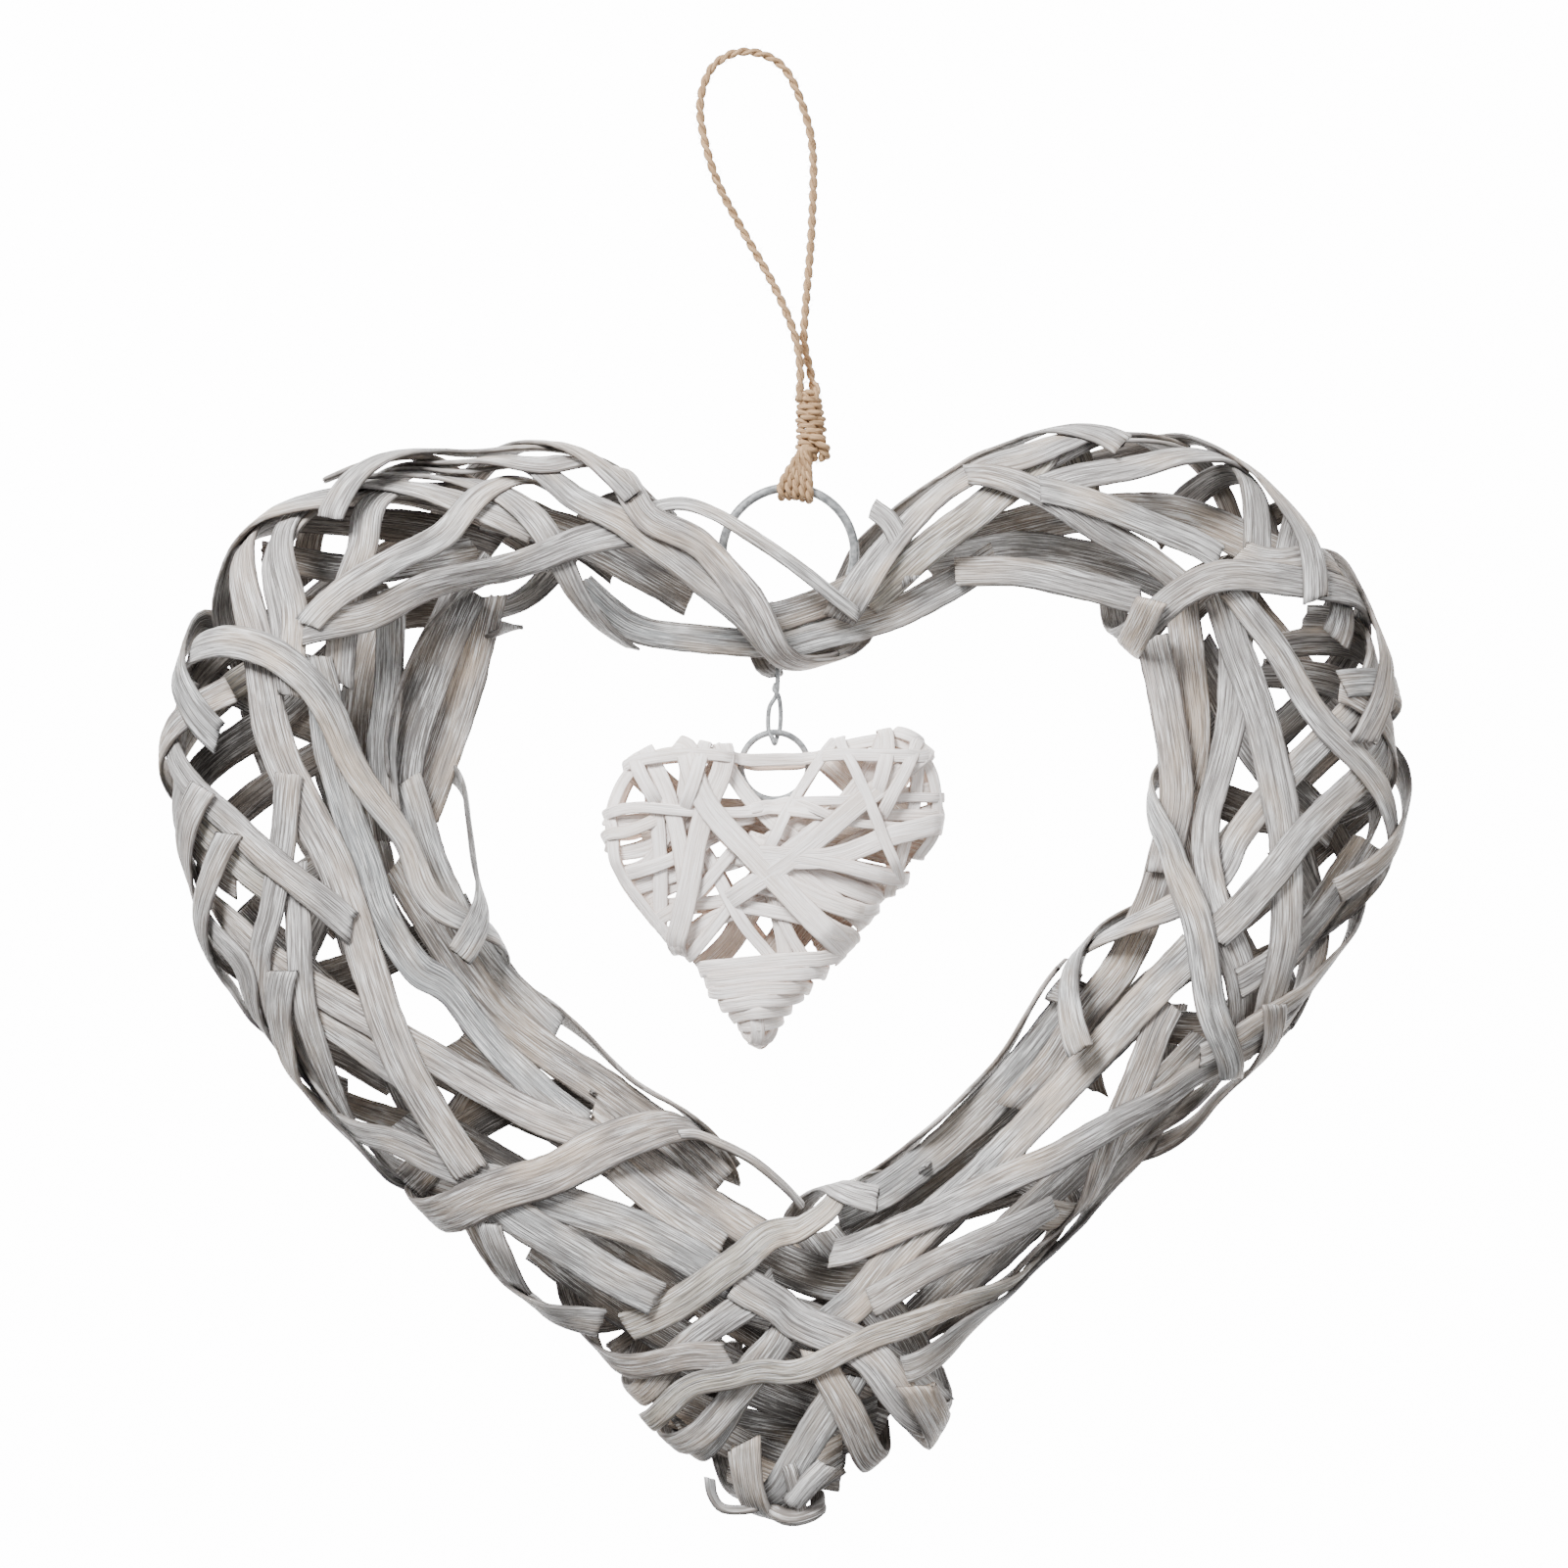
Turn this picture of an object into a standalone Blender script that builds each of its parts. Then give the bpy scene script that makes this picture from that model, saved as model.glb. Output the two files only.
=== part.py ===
"""Heart-shaped willow wreath with a small white willow heart hung in its middle.

The big heart is a hollow garland wound from flat strips. Its winding surface is a
ruled tube: an outer and an inner outline, joined by chords that are bulged to the
front and the back. Each strip runs along that tube, turns round its edges, and lies
on whatever was wound before it. The whole hangs from a twine loop, whose inner top
is the origin. The front faces -Y.
"""
import math

import bmesh
import bpy
import numpy as np

MM = 0.001

# Driving sizes, in millimetres
WREATH_WIDTH = 250.0
STRIP_THICK = 0.9
LAY_GAP = 0.45
LAY_SLOPE = 0.22
TUBE_SLIM = 4.0
TUBE_DEPTH_SLIM = 1.5
SEEN_FROM = 1000.0
LOOP_ABOVE_RING = 101.6
CENTRE_X = 8.0

RING_DIAMETER = 28.8
RING_WIRE = 1.9

SMALL_WIDTH = 69.0
SMALL_X = -3.0
SMALL_HALF_DEPTH = 4.8
SMALL_RIM = 10.0
SMALL_LEAST = 2.6
SMALL_THICK = 1.0
SMALL_LEVEL = 0.85

SMALL_RING_DIAMETER = 15.0
SMALL_RING_WIRE = 1.3
SMALL_RING_X = -2.8

HANGER_WIRE = 1.0
HANGER_X = -2.2
HANGER_BELOW_CLEFT = 6.3
HANGER_DROP = 10.1
HANGER_SLACK = 0.6
HANGER_STRAIGHT = 4.0
HANGER_BOW = 0.8
HOOK_START = math.radians(60)
HOOK_STEP = math.radians(28)
HOOK_STEPS = 10

TWINE = 2.0
KNOT_WIDTH = 5.4
KNOT_DEPTH = 5.0
KNOT_FOOT_SHIFT = 0.5
KNOT_NECK = 0.62
KNOT_SHOULDER = 2.0
KNOT_WAIST = 9.0
KNOT_HIPS = 7.0
KNOT_HEM = 3.0

# How a strip's way is worked out, in millimetres and radians
ROUTE_STEPS = 24
SETTLE_ROUNDS = 3
LARGEST_SHIFT = 2.0
LARGEST_LEAN = 22.0
LEAST_TURN = 0.25
EDGE_STEP = math.radians(45)
MOST_BEND = math.radians(24)
LONGEST_STEP = 17.0
LANE_STEPS = 9
LANES = 7
INSIDE_STEPS = 3
INSIDE_ROOM = 1.2
STATION_STEPS = 24
CELLS_ROUND = 120
FARTHEST_SHARE = 1.25
OUTSIDE_COST = 30.0
FAR_COST = 0.02

# How finely things are divided
STRIP_SIDES = 4
RING_STEPS = 40
SMALL_RING_STEPS = 28
RING_SIDES = 8
KNOT_SIDES = 12
SMALL_TURN_STEPS = 9
WAY_STEPS = 3

# Colours
WASHED_GREY = (0.50, 0.47, 0.44)
WASHED_WHITE = (0.84, 0.80, 0.77)
ZINC = (0.23, 0.24, 0.25)
JUTE = (0.55, 0.38, 0.22)

# The wreath is drawn in parts, 250 to its width, from its centre line and up from its tip.
# Outer x, outer up, inner x, inner up and half depth, from the cleft round the right.
STATIONS = (
    (3.5, 188.0, 1.5, 177.5, 4.0),
    (15.0, 198.0, 15.0, 181.0, 6.5),
    (35.0, 216.0, 37.0, 191.0, 9.5),
    (66.0, 223.0, 60.0, 189.0, 12.0),
    (93.0, 216.0, 76.0, 181.0, 13.0),
    (116.0, 190.0, 82.0, 164.0, 13.5),
    (124.0, 156.0, 80.0, 144.0, 13.5),
    (115.0, 125.0, 73.0, 124.0, 13.5),
    (95.0, 96.0, 54.0, 100.0, 13.5),
    (65.0, 66.0, 32.0, 77.0, 13.0),
    (37.0, 38.0, 14.0, 66.0, 13.0),
    (22.0, 14.0, 6.0, 63.5, 12.0),
    (0.0, 1.0, 1.0, 62.5, 9.5),
    (-21.0, 14.0, -3.0, 64.0, 12.0),
    (-40.0, 33.0, -16.0, 73.0, 13.0),
    (-66.0, 53.0, -37.0, 88.0, 13.0),
    (-93.0, 81.0, -57.0, 104.0, 13.5),
    (-115.0, 113.0, -69.0, 124.0, 13.5),
    (-126.0, 145.0, -77.0, 145.0, 13.5),
    (-124.0, 172.0, -79.0, 161.0, 13.5),
    (-112.0, 199.0, -70.0, 182.0, 13.0),
    (-89.0, 213.0, -57.0, 190.0, 12.0),
    (-58.0, 216.0, -40.0, 188.0, 11.0),
    (-32.0, 210.0, -23.0, 181.0, 8.0),
    (-11.0, 197.0, -11.0, 178.0, 5.5),
)
PARTS_ACROSS = max(row[0] for row in STATIONS) - min(row[0] for row in STATIONS)
SHARE = WREATH_WIDTH / PARTS_ACROSS
RING_UP_PARTS = 197.0
RING_UP = RING_UP_PARTS * SHARE
LOOP_TO_TIP = RING_UP + LOOP_ABOVE_RING
HANGER_TOP_UP = STATIONS[0][3] * SHARE - HANGER_BELOW_CLEFT
SMALL_RING_UP = HANGER_TOP_UP - HANGER_DROP - SMALL_RING_DIAMETER / 2
# The photograph's middle, in the same parts, which the eye looked at squarely.
SEEN_MIDDLE = (-0.9, 149.9)

# Strips in the order they were wound: name, width in mm, face, the degrees it turns on
# past its start and past its end, and the places it passes on that face. The first ones
# lie flat inside the inner edge, and for them the first number is how far back in mm.
FRONT = 1
BACK = -1
INSIDE = 0
STRIPS = (
    ("left_inner_strip", 8.0, INSIDE, 0.5, 0,
     ((-80, 134), (-74, 124), (-59, 103), (-37, 87), (-25, 78), (-14, 68))),
    ("right_inner_low_strip", 7.5, INSIDE, 1.0, 0,
     ((10, 62), (20, 67), (33, 77), (45, 89), (54, 100), (60, 108))),
    ("right_inner_strip", 7.0, INSIDE, -1.5, 0,
     ((46, 84), (54, 93), (61, 104), (68, 113), (74, 126), (77, 136))),
    ("right_upper_inner_strip", 7.0, INSIDE, -1.0, 0, ((80, 188), (82, 172), (83, 160), (81, 148))),
    ("left_arch_inner_strip", 6.0, INSIDE, -0.5, 0, ((-81, 190), (-81.5, 172), (-83, 155), (-81, 138))),
    ("right_arch_inner_strip", 6.0, INSIDE, -4.0, 0, ((34, 193), (47, 193), (59, 190.5), (72, 187))),
    ("cleft_under_strip", 6.0, INSIDE, 1.0, 0,
     ((-43, 191), (-32, 182), (-17, 179.5), (2, 178.5), (14, 182))),
    ("left_side_back_strip", 7.5, BACK, 50, 8, ((-122, 150), (-104, 165), (-84, 186))),
    ("left_low_back_strip", 7.5, BACK, 45, 0, ((-110, 108), (-88, 112), (-70, 122))),
    ("right_side_back_strip", 7.5, BACK, 50, 0, ((122, 150), (104, 143), (86, 148))),
    ("right_low_back_strip", 7.5, BACK, 50, 25, ((104, 106), (82, 100), (56, 106))),
    ("left_arch_down_strip", 6.5, FRONT, 110, 0, ((-84, 208), (-87, 198), (-91, 184), (-92, 170))),
    ("left_side_rise_strip", 6.5, FRONT, 80, 0, ((-122, 143), (-115, 136), (-104, 128))),
    ("left_low_strip", 5.5, FRONT, 110, 0, ((-113, 113), (-105, 107), (-91, 98), (-78, 90))),
    ("left_base_short_strip", 6.0, FRONT, 0, 0, ((-36, 72), (-25, 63), (-13, 55))),
    ("right_arch_steep_strip", 6.0, FRONT, 100, 0, ((93.5, 214), (95.6, 206), (95, 190))),
    ("right_side_cross_strip", 6.0, FRONT, 90, 90,
     ((84, 129), (92, 140), (101, 150), (109, 158.6), (117, 168))),
    ("right_base_steep_strip", 6.5, FRONT, 90, 0,
     ((48, 51), (56, 60), (66, 77), (74, 96), (78, 106))),
    ("left_bluish_strip", 7.0, FRONT, 0, 0,
     ((-97, 176), (-94, 162), (-87.5, 138), (-83, 124), (-76, 113), (-67, 105), (-41.5, 80))),
    ("left_long_low_strip", 6.5, FRONT, 110, 0,
     ((-119, 127), (-112, 119), (-93, 106), (-71, 93), (-49, 81), (-35, 76))),
    ("left_base_long_strip", 7.5, FRONT, 0, 0, ((-52, 66), (-39, 62), (-29, 58), (-9, 47))),
    ("right_base_wide_strip", 7.5, FRONT, 0, 0,
     ((9, 40), (20, 51.4), (36, 67), (56, 88), (73, 106), (84, 117))),
    ("right_edge_pair_strip", 7.0, FRONT, 0, 0,
     ((91, 190), (91.4, 176), (87.6, 150), (85, 140), (86, 129), (90, 118), (91, 96))),
    ("right_long_strip", 7.0, FRONT, 0, 50,
     ((88, 189), (92, 176), (98, 157), (101.4, 138), (101.4, 118), (98, 104))),
    ("right_rise_strip", 6.5, FRONT, 0, 100, ((86, 119), (99, 132), (109, 143), (121, 158))),
    ("right_fork_strip", 5.5, FRONT, 0, 60, ((91, 189), (97, 181), (108, 164), (120, 148))),
    ("left_low_upright_strip", 5.5, FRONT, 0, 60, ((-101, 133), (-100, 118), (-97, 98), (-92, 86))),
    ("tip_left_strip", 6.5, FRONT, 80, 0, ((-17, 16), (-11, 25), (-6, 32), (2, 42))),
    ("tip_middle_strip", 7.0, FRONT, 80, 0, ((-3, 5), (2, 12), (7, 20), (13, 29))),
    ("tip_right_strip", 6.5, FRONT, 0, 80, ((6, 34), (12, 22), (17, 12))),
    ("left_low_edge_strip", 6.5, FRONT, 100, 0,
     ((-97, 87), (-92, 81.5), (-81, 76.5), (-71, 72.5), (-58, 69))),
    ("left_main_strip", 7.5, FRONT, 110, 0,
     ((-110, 200), (-110, 184), (-107, 170), (-97, 142), (-90, 126), (-85, 110), (-71, 80), (-64, 70))),
    ("left_arch_upright_strip", 5.5, FRONT, 110, 0, ((-97, 209), (-101.5, 190), (-101, 176))),
    ("left_side_top_strip", 6.0, FRONT, 110, 0, ((-124, 153), (-113, 141.5), (-97, 128), (-89, 120))),
    ("left_arch_low_strip", 5.5, FRONT, 0, 0, ((-93, 210), (-84, 211), (-75, 210), (-65, 206), (-52, 201))),
    ("left_arch_cut_strip", 5.5, FRONT, 70, 0,
     ((-81, 213), (-71, 213), (-61, 210), (-52, 203), (-42, 192), (-30, 183))),
    ("left_arch_long_strip", 6.5, FRONT, 0, 0,
     ((-99, 181), (-81, 187), (-65, 192), (-49, 195.5), (-24, 201))),
    ("left_arch_rise_strip", 5.5, FRONT, 0, 20, ((-98, 183), (-81, 195.5), (-69, 202), (-50, 212))),
    ("left_cleft_strip", 6.0, FRONT, 60, 10,
     ((-68, 214), (-55, 213), (-45, 209), (-33, 202), (-21, 194), (-9, 185), (-1, 179))),
    ("left_cleft_top_strip", 7.0, FRONT, 50, 45,
     ((-50, 214), (-39, 212.5), (-29, 206), (-17, 196.5), (-5, 186), (3, 179))),
    ("right_arch_wide_strip", 7.0, FRONT, 0, 90,
     ((16, 187), (25, 195), (35, 203), (43, 209), (51, 216), (56, 220))),
    ("right_arch_long_strip", 5.5, FRONT, 0, 70, ((48, 209), (61, 213), (71, 215), (81, 217), (90, 217))),
    ("right_cleft_strip", 7.0, FRONT, 0, 30,
     ((10, 184), (17, 193), (25, 203), (32, 210), (39, 214), (49, 217))),
    ("right_arch_cross_strip", 5.5, FRONT, 0, 0,
     ((36, 213), (45, 212), (55, 207.6), (65, 201), (75, 195), (82, 189))),
    ("right_base_cross_strip", 6.0, FRONT, 0, 80,
     ((9, 54), (19, 57.6), (31, 63), (43, 68), (55, 74), (67, 80), (77, 86), (87, 93))),
    ("right_fold_strip", 6.5, FRONT, 75, 0, ((77, 142), (80, 131), (83, 122), (87, 102), (90, 90))),
    ("tip_square_strip", 8.0, FRONT, 0, 40, ((-11, 49), (-1, 42.4), (8, 37.6), (17, 33), (25, 22))),
    ("tip_long_strip", 6.5, FRONT, 0, 35,
     ((-33, 38), (-21, 45), (-11, 52), (-1, 58.4), (9, 64))),
    ("left_base_band_strip", 9.0, FRONT, 110, 30,
     ((-76, 62), (-63, 66), (-49, 71), (-37, 75), (-25, 78.5), (-18, 79.5))),
    ("right_collar_strip", 6.5, FRONT, 60, 110,
     ((74, 184), (80, 189), (89, 192.4), (99, 192), (109, 190), (118, 187.6))),
    ("tip_yellow_strip", 5.0, FRONT, 0, 60,
     ((-27, 21), (-21, 26), (-13, 28.6), (-3, 30), (13, 35), (23, 39), (39, 45.6), (51, 50))),
    ("left_collar_strip", 6.5, FRONT, 110, 20,
     ((-122, 178), (-113, 180), (-103, 174), (-93, 165), (-83, 155), (-75, 143), (-69, 126))),
)

# Turns of the small heart, each between two places on its rim, with its width and its
# level above the core. In parts, 69 to its width, from its centre line and up from its tip.
SMALL_OUTLINE = (
    (0, 48), (5, 52), (9, 60), (13, 62.5), (22, 64), (30, 60), (34.5, 53), (33.5, 44), (26, 33), (17, 22),
    (10, 13), (3, 2), (0, 0), (-5, 6), (-13, 16), (-21, 23), (-28, 33), (-34, 42), (-34, 51),
    (-28, 59), (-18, 63), (-9.5, 61), (-5, 52),
)
SMALL_PARTS_ACROSS = max(row[0] for row in SMALL_OUTLINE) - min(row[0] for row in SMALL_OUTLINE)
SMALL_SHARE = SMALL_WIDTH / SMALL_PARTS_ACROSS
SMALL_RING_PARTS = 58.0
SMALL_UP = SMALL_RING_UP - SMALL_RING_PARTS * SMALL_SHARE
SMALL_TURNS = (
    ((-24, 62), (-20, 22), 4.2, 0),
    ((26, 62), (22, 28), 4.2, 0),
    ((-12, 61), (-14, 14), 4.2, 0),
    ((1, 47), (-1, 1), 4.2, 0),
    ((-34, 46), (34, 50), 4.2, 1),
    ((-31, 38), (28, 36), 4.2, 1),
    ((-9, 11), (10, 14), 4.5, 1),
    ((-6, 6), (7, 8.5), 3.5, 1),
    ((18, 64), (-14, 16), 4.0, 2),
    ((32, 57), (-24, 28), 4.0, 2),
    ((-30, 57), (20, 27), 4.2, 3),
    ((-16, 63), (14, 18), 5.0, 3),
    ((-31, 57), (31, 59), 2.6, 3),
)

# The twine loop's way from the knot round the top and back, in mm from the origin.
TWINE_ROUTE = (
    (10.2, -1.4, -70.5), (10.4, -1.6, -64.0), (9.2, -1.8, -57.0), (5.0, -1.2, -47.0), (-1.2, -0.4, -36.0),
    (-6.4, 0.0, -26.0), (-9.2, 0.0, -17.0), (-10.0, 0.0, -9.5), (-8.0, 0.0, -3.0), (-3.8, 0.0, 0.3),
    (1.6, 0.0, 0.6), (7.0, 0.0, -2.4), (10.8, 0.0, -10.0), (13.0, 0.0, -20.0), (12.7, 0.4, -36.0),
    (11.6, 1.2, -50.0), (11.2, 1.8, -58.0), (12.4, 1.6, -64.0), (13.6, 1.4, -70.5),
)


def clear_scene():
    """Remove whatever the scene holds."""
    for item in list(bpy.data.objects):
        bpy.data.objects.remove(item, do_unlink=True)


def make_material(name, colour, roughness, metallic=0.0):
    """A Principled material of one colour."""
    material = bpy.data.materials.new(name)
    material.use_nodes = True
    shader = material.node_tree.nodes["Principled BSDF"]
    shader.inputs["Base Color"].default_value = (*colour, 1.0)
    shader.inputs["Roughness"].default_value = roughness
    shader.inputs["Metallic"].default_value = metallic
    return material


def add_object(name, data, material, collection):
    """Put mesh or curve data into the scene as a named object."""
    data.materials.append(material)
    item = bpy.data.objects.new(name, data)
    collection.objects.link(item)
    return item


def smooth_line(points, count, closed=False):
    """Catmull-Rom curve through the points, count samples from each to the next."""
    points = np.asarray(points, float)
    total = len(points)
    if closed:
        before, after, beyond = np.roll(points, 1, 0), np.roll(points, -1, 0), np.roll(points, -2, 0)
        start = points
    else:
        padded = np.vstack([2 * points[0] - points[1], points, 2 * points[-1] - points[-2]])
        before, start, after, beyond = padded[:-3], padded[1:-2], padded[2:-1], padded[3:]
        total -= 1
    t = np.linspace(0.0, 1.0, count, endpoint=False)[None, :, None]
    before, start, after, beyond = (a[:, None, :] for a in (before, start, after, beyond))
    curve = 0.5 * (2 * start + (after - before) * t
                   + (2 * before - 5 * start + 4 * after - beyond) * t ** 2
                   + (3 * start - 3 * after + beyond - before) * t ** 3)
    curve = curve.reshape(total * count, -1)
    return curve if closed else np.vstack([curve, points[-1]])


def unit(vectors):
    """Vectors brought to length one."""
    return vectors / np.maximum(np.linalg.norm(vectors, axis=-1, keepdims=True), 1e-12)


class WindingTube:
    """The surface that the strips are wound on, with a map of how high they lie."""

    def __init__(self):
        rows = smooth_line(np.array(STATIONS), STATION_STEPS, closed=True)
        outer = rows[:, 0:2] * SHARE
        inner = rows[:, 2:4] * SHARE
        across = (outer - inner) / 2
        half = np.linalg.norm(across, axis=1, keepdims=True)
        self.centre = (outer + inner) / 2
        self.across = across * (half - TUBE_SLIM) / half
        self.depth = rows[:, 4] * SHARE - TUBE_DEPTH_SLIM
        steps = np.linalg.norm(np.roll(self.centre, -1, 0) - self.centre, axis=1)
        self.length = steps.sum()
        self.along = np.concatenate([[0.0], np.cumsum(steps)[:-1]])
        self.cells_along = int(round(self.length))
        self.cells_round = CELLS_ROUND
        self.height = np.zeros((self.cells_along, self.cells_round))

    def read(self, along, values):
        """A station's values at places along the tube, which closes on itself."""
        knots = np.append(self.along, self.length)
        place = np.mod(along, self.length)
        if values.ndim == 1:
            return np.interp(place, knots, np.append(values, values[0]))
        return np.stack([self.read(along, values[:, k]) for k in range(values.shape[1])], axis=-1)

    def point(self, along, turn):
        """Point on the surface: turn 0 is the front, a quarter the outer edge."""
        flat = self.read(along, self.centre) + self.read(along, self.across) * np.sin(turn)[..., None]
        deep = -self.read(along, self.depth) * np.cos(turn)
        return np.stack([flat[..., 0], deep, flat[..., 1]], axis=-1)

    def frame(self, along, turn):
        """Surface directions along and round the tube, and the outward normal."""
        step = 0.5
        swing = 0.01
        down = (self.point(along + step, turn) - self.point(along - step, turn)) / (2 * step)
        round_ = (self.point(along, turn + swing) - self.point(along, turn - swing)) / (2 * swing)
        return down, round_, unit(np.cross(down, round_))

    def locate(self, place, near):
        """Where a place seen from the front lies on the tube."""
        offset = np.asarray(place, float) * SHARE - self.centre
        half = np.linalg.norm(self.across, axis=1)
        lane = self.across / half[:, None]
        share = (offset * lane).sum(axis=1) / half
        miss = np.abs(offset[:, 0] * lane[:, 1] - offset[:, 1] * lane[:, 0])
        miss = miss + OUTSIDE_COST * np.maximum(np.abs(share) - FARTHEST_SHARE, 0.0)
        if near is not None:
            gap = np.abs(np.mod(self.along - near + self.length / 2, self.length) - self.length / 2)
            miss = miss + FAR_COST * gap
        best = int(np.argmin(miss))
        return self.along[best], math.asin(max(-0.999, min(0.999, share[best])))

    def cells(self, along, turn):
        """Map cells under places on the tube."""
        i = np.mod(np.round(along * self.cells_along / self.length).astype(int), self.cells_along)
        j = np.mod(np.round(turn * self.cells_round / (2 * math.pi)).astype(int), self.cells_round)
        return i, j


def strip_route(tube, face, turn_on, turn_off, places):
    """The strip's way along and round the tube, and how many edge places lead it."""
    route = []
    near = None
    for place in places:
        along, turn = tube.locate(place, near)
        if near is not None:
            along += tube.length * round((near - along) / tube.length)
        near = along
        route.append((along, turn if face == FRONT else math.pi - turn))
    first = 0
    for end, extra in ((0, turn_on), (-1, turn_off)):
        if extra == 0:
            continue
        last = np.array(route[end])
        inside = np.array(route[1] if end == 0 else route[-2])
        outward = last[1] if face == FRONT else math.pi - last[1]
        way = math.copysign(1.0, outward) * face
        lean = (last[0] - inside[0]) / max(abs(last[1] - inside[1]), LEAST_TURN)
        lean = max(-LARGEST_LEAN, min(LARGEST_LEAN, lean))
        edge = math.pi / 2 * math.copysign(1.0, outward)
        edge = edge if face == FRONT else math.pi - edge
        reach = abs(edge - last[1]) + math.radians(extra)
        count = max(1, int(round(reach / EDGE_STEP)))
        steps = [(last[0] + lean * reach * k / count, last[1] + way * reach * k / count)
                 for k in range(1, count + 1)]
        if end == 0:
            first = count
            route = steps[::-1] + route
        else:
            route = route + steps
    return smooth_line(route, ROUTE_STEPS), first


def pick_knots(points, normals, most_bend, longest):
    """Knots along a fine line, closer together where the strip bends."""
    steps = unit(np.diff(points, axis=0))
    lengths = np.linalg.norm(np.diff(points, axis=0), axis=1)
    keep = [0]
    bend = 0.0
    run = 0.0
    for k in range(1, len(points) - 1):
        turn = math.acos(max(-1.0, min(1.0, float(steps[k] @ steps[k - 1]))))
        roll = math.acos(max(-1.0, min(1.0, float(normals[k] @ normals[k - 1]))))
        bend += max(turn, roll)
        run += lengths[k - 1]
        if bend > most_bend or run > longest:
            keep.append(k)
            bend = 0.0
            run = 0.0
    keep.append(len(points) - 1)
    return np.array(keep)


def lifts_needed(need, distance):
    """Heights above need that fall off no faster than the strip can bend."""
    need = np.concatenate([need[:1], np.maximum(need[1:], need[:-1]), need[-1:]])
    reach = need[None, :] - LAY_SLOPE * np.abs(distance[:, None] - distance[None, :])
    return reach.max(axis=1)


def lay_strip(tube, width, route, settle=True):
    """Lay one strip on the tube and what is on it: knots, section corners, centre line."""
    along, turn = route[:, 0], route[:, 1]
    normals = tube.frame(along, turn)[2]
    keep = pick_knots(tube.point(along, turn), normals, MOST_BEND, LONGEST_STEP)
    along, turn = along[keep], turn[keep]
    centre = tube.point(along, turn)
    normal = tube.frame(along, turn)[2]
    heading = unit(np.gradient(centre, axis=0))
    normal = unit(normal - heading * (normal * heading).sum(-1, keepdims=True))
    side = np.cross(normal, heading)
    a, b, rise = under_strip(tube, along, turn, centre, side, width)
    i, j = tube.cells(a, b)
    distance = np.concatenate([[0.0], np.cumsum(np.linalg.norm(np.diff(centre, axis=0), axis=1))])
    lift = lifts_needed((tube.height[i, j] + LAY_GAP - rise).max(axis=(1, 2)), distance)
    if settle:
        share = np.linspace(0, 1, LANE_STEPS)[None, :, None]
        top = rise + lift[:-1, None, None] * (1 - share) + lift[1:, None, None] * share + STRIP_THICK
        for shift_i in (-1, 0, 1):
            for shift_j in (-1, 0, 1):
                cell = (np.mod(i + shift_i, tube.cells_along), np.mod(j + shift_j, tube.cells_round))
                np.maximum.at(tube.height, cell, top)
    middle = centre + normal * (lift[:, None] + STRIP_THICK / 2)
    out = normal * STRIP_THICK / 2
    wide = side * width / 2
    low, high = middle - out, middle + out
    return keep, np.stack([low - wide, low + wide, high + wide, high - wide], axis=1), middle


def place_inside(tube, width, level, places):
    """A strip that lies flat in the inner edge, and the room it takes there."""
    line = smooth_line(np.array(places, float) * SHARE, INSIDE_STEPS)
    centre = np.insert(line, 1, level, axis=1)
    normal = np.tile([0.0, -1.0, 0.0], (len(centre), 1))
    side = np.cross(normal, unit(np.gradient(centre, axis=0)))
    out = normal * STRIP_THICK / 2
    wide = side * width / 2
    low, high = centre - out, centre + out
    spots = [tube.locate(place / SHARE, None) for place in line]
    along = np.unwrap([spot[0] for spot in spots], period=tube.length)
    turn = np.array([spot[1] for spot in spots])
    for face in (low, high):
        a, b, rise = under_strip(tube, along, turn, face, side, width)
        i, j = tube.cells(a, b)
        for shift_i in (-1, 0, 1):
            for shift_j in (-1, 0, 1):
                cell = (np.mod(i + shift_i, tube.cells_along), np.mod(j + shift_j, tube.cells_round))
                np.maximum.at(tube.height, cell, rise + INSIDE_ROOM)
    return np.stack([low - wide, low + wide, high + wide, high - wide], axis=1)


def under_strip(tube, along, turn, centre, side, width):
    """Places under a strip's flat faces, and how far those faces stand off the tube."""
    t = np.linspace(0, 1, LANE_STEPS)[None, :, None]
    v = np.linspace(-0.5, 0.5, LANES)[None, None, :] * width
    a = along[:-1, None, None] * (1 - t) + along[1:, None, None] * t + 0 * v
    b = turn[:-1, None, None] * (1 - t) + turn[1:, None, None] * t + 0 * v
    mid = centre[:-1, None, None] * (1 - t[..., None]) + centre[1:, None, None] * t[..., None]
    lane = side[:-1, None, None] * (1 - t[..., None]) + side[1:, None, None] * t[..., None]
    spot = mid + lane * v[..., None]
    for _ in range(2):
        down, ring_way, normal = tube.frame(a, b)
        off = spot - tube.point(a, b)
        dd, rr, dr = (down * down).sum(-1), (ring_way * ring_way).sum(-1), (down * ring_way).sum(-1)
        od, oround = (off * down).sum(-1), (off * ring_way).sum(-1)
        det = np.maximum(dd * rr - dr * dr, 1e-6)
        a = a + (od * rr - oround * dr) / det
        b = b + (oround * dd - od * dr) / det
    normal = tube.frame(a, b)[2]
    return a, b, ((spot - tube.point(a, b)) * normal).sum(-1)


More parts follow.
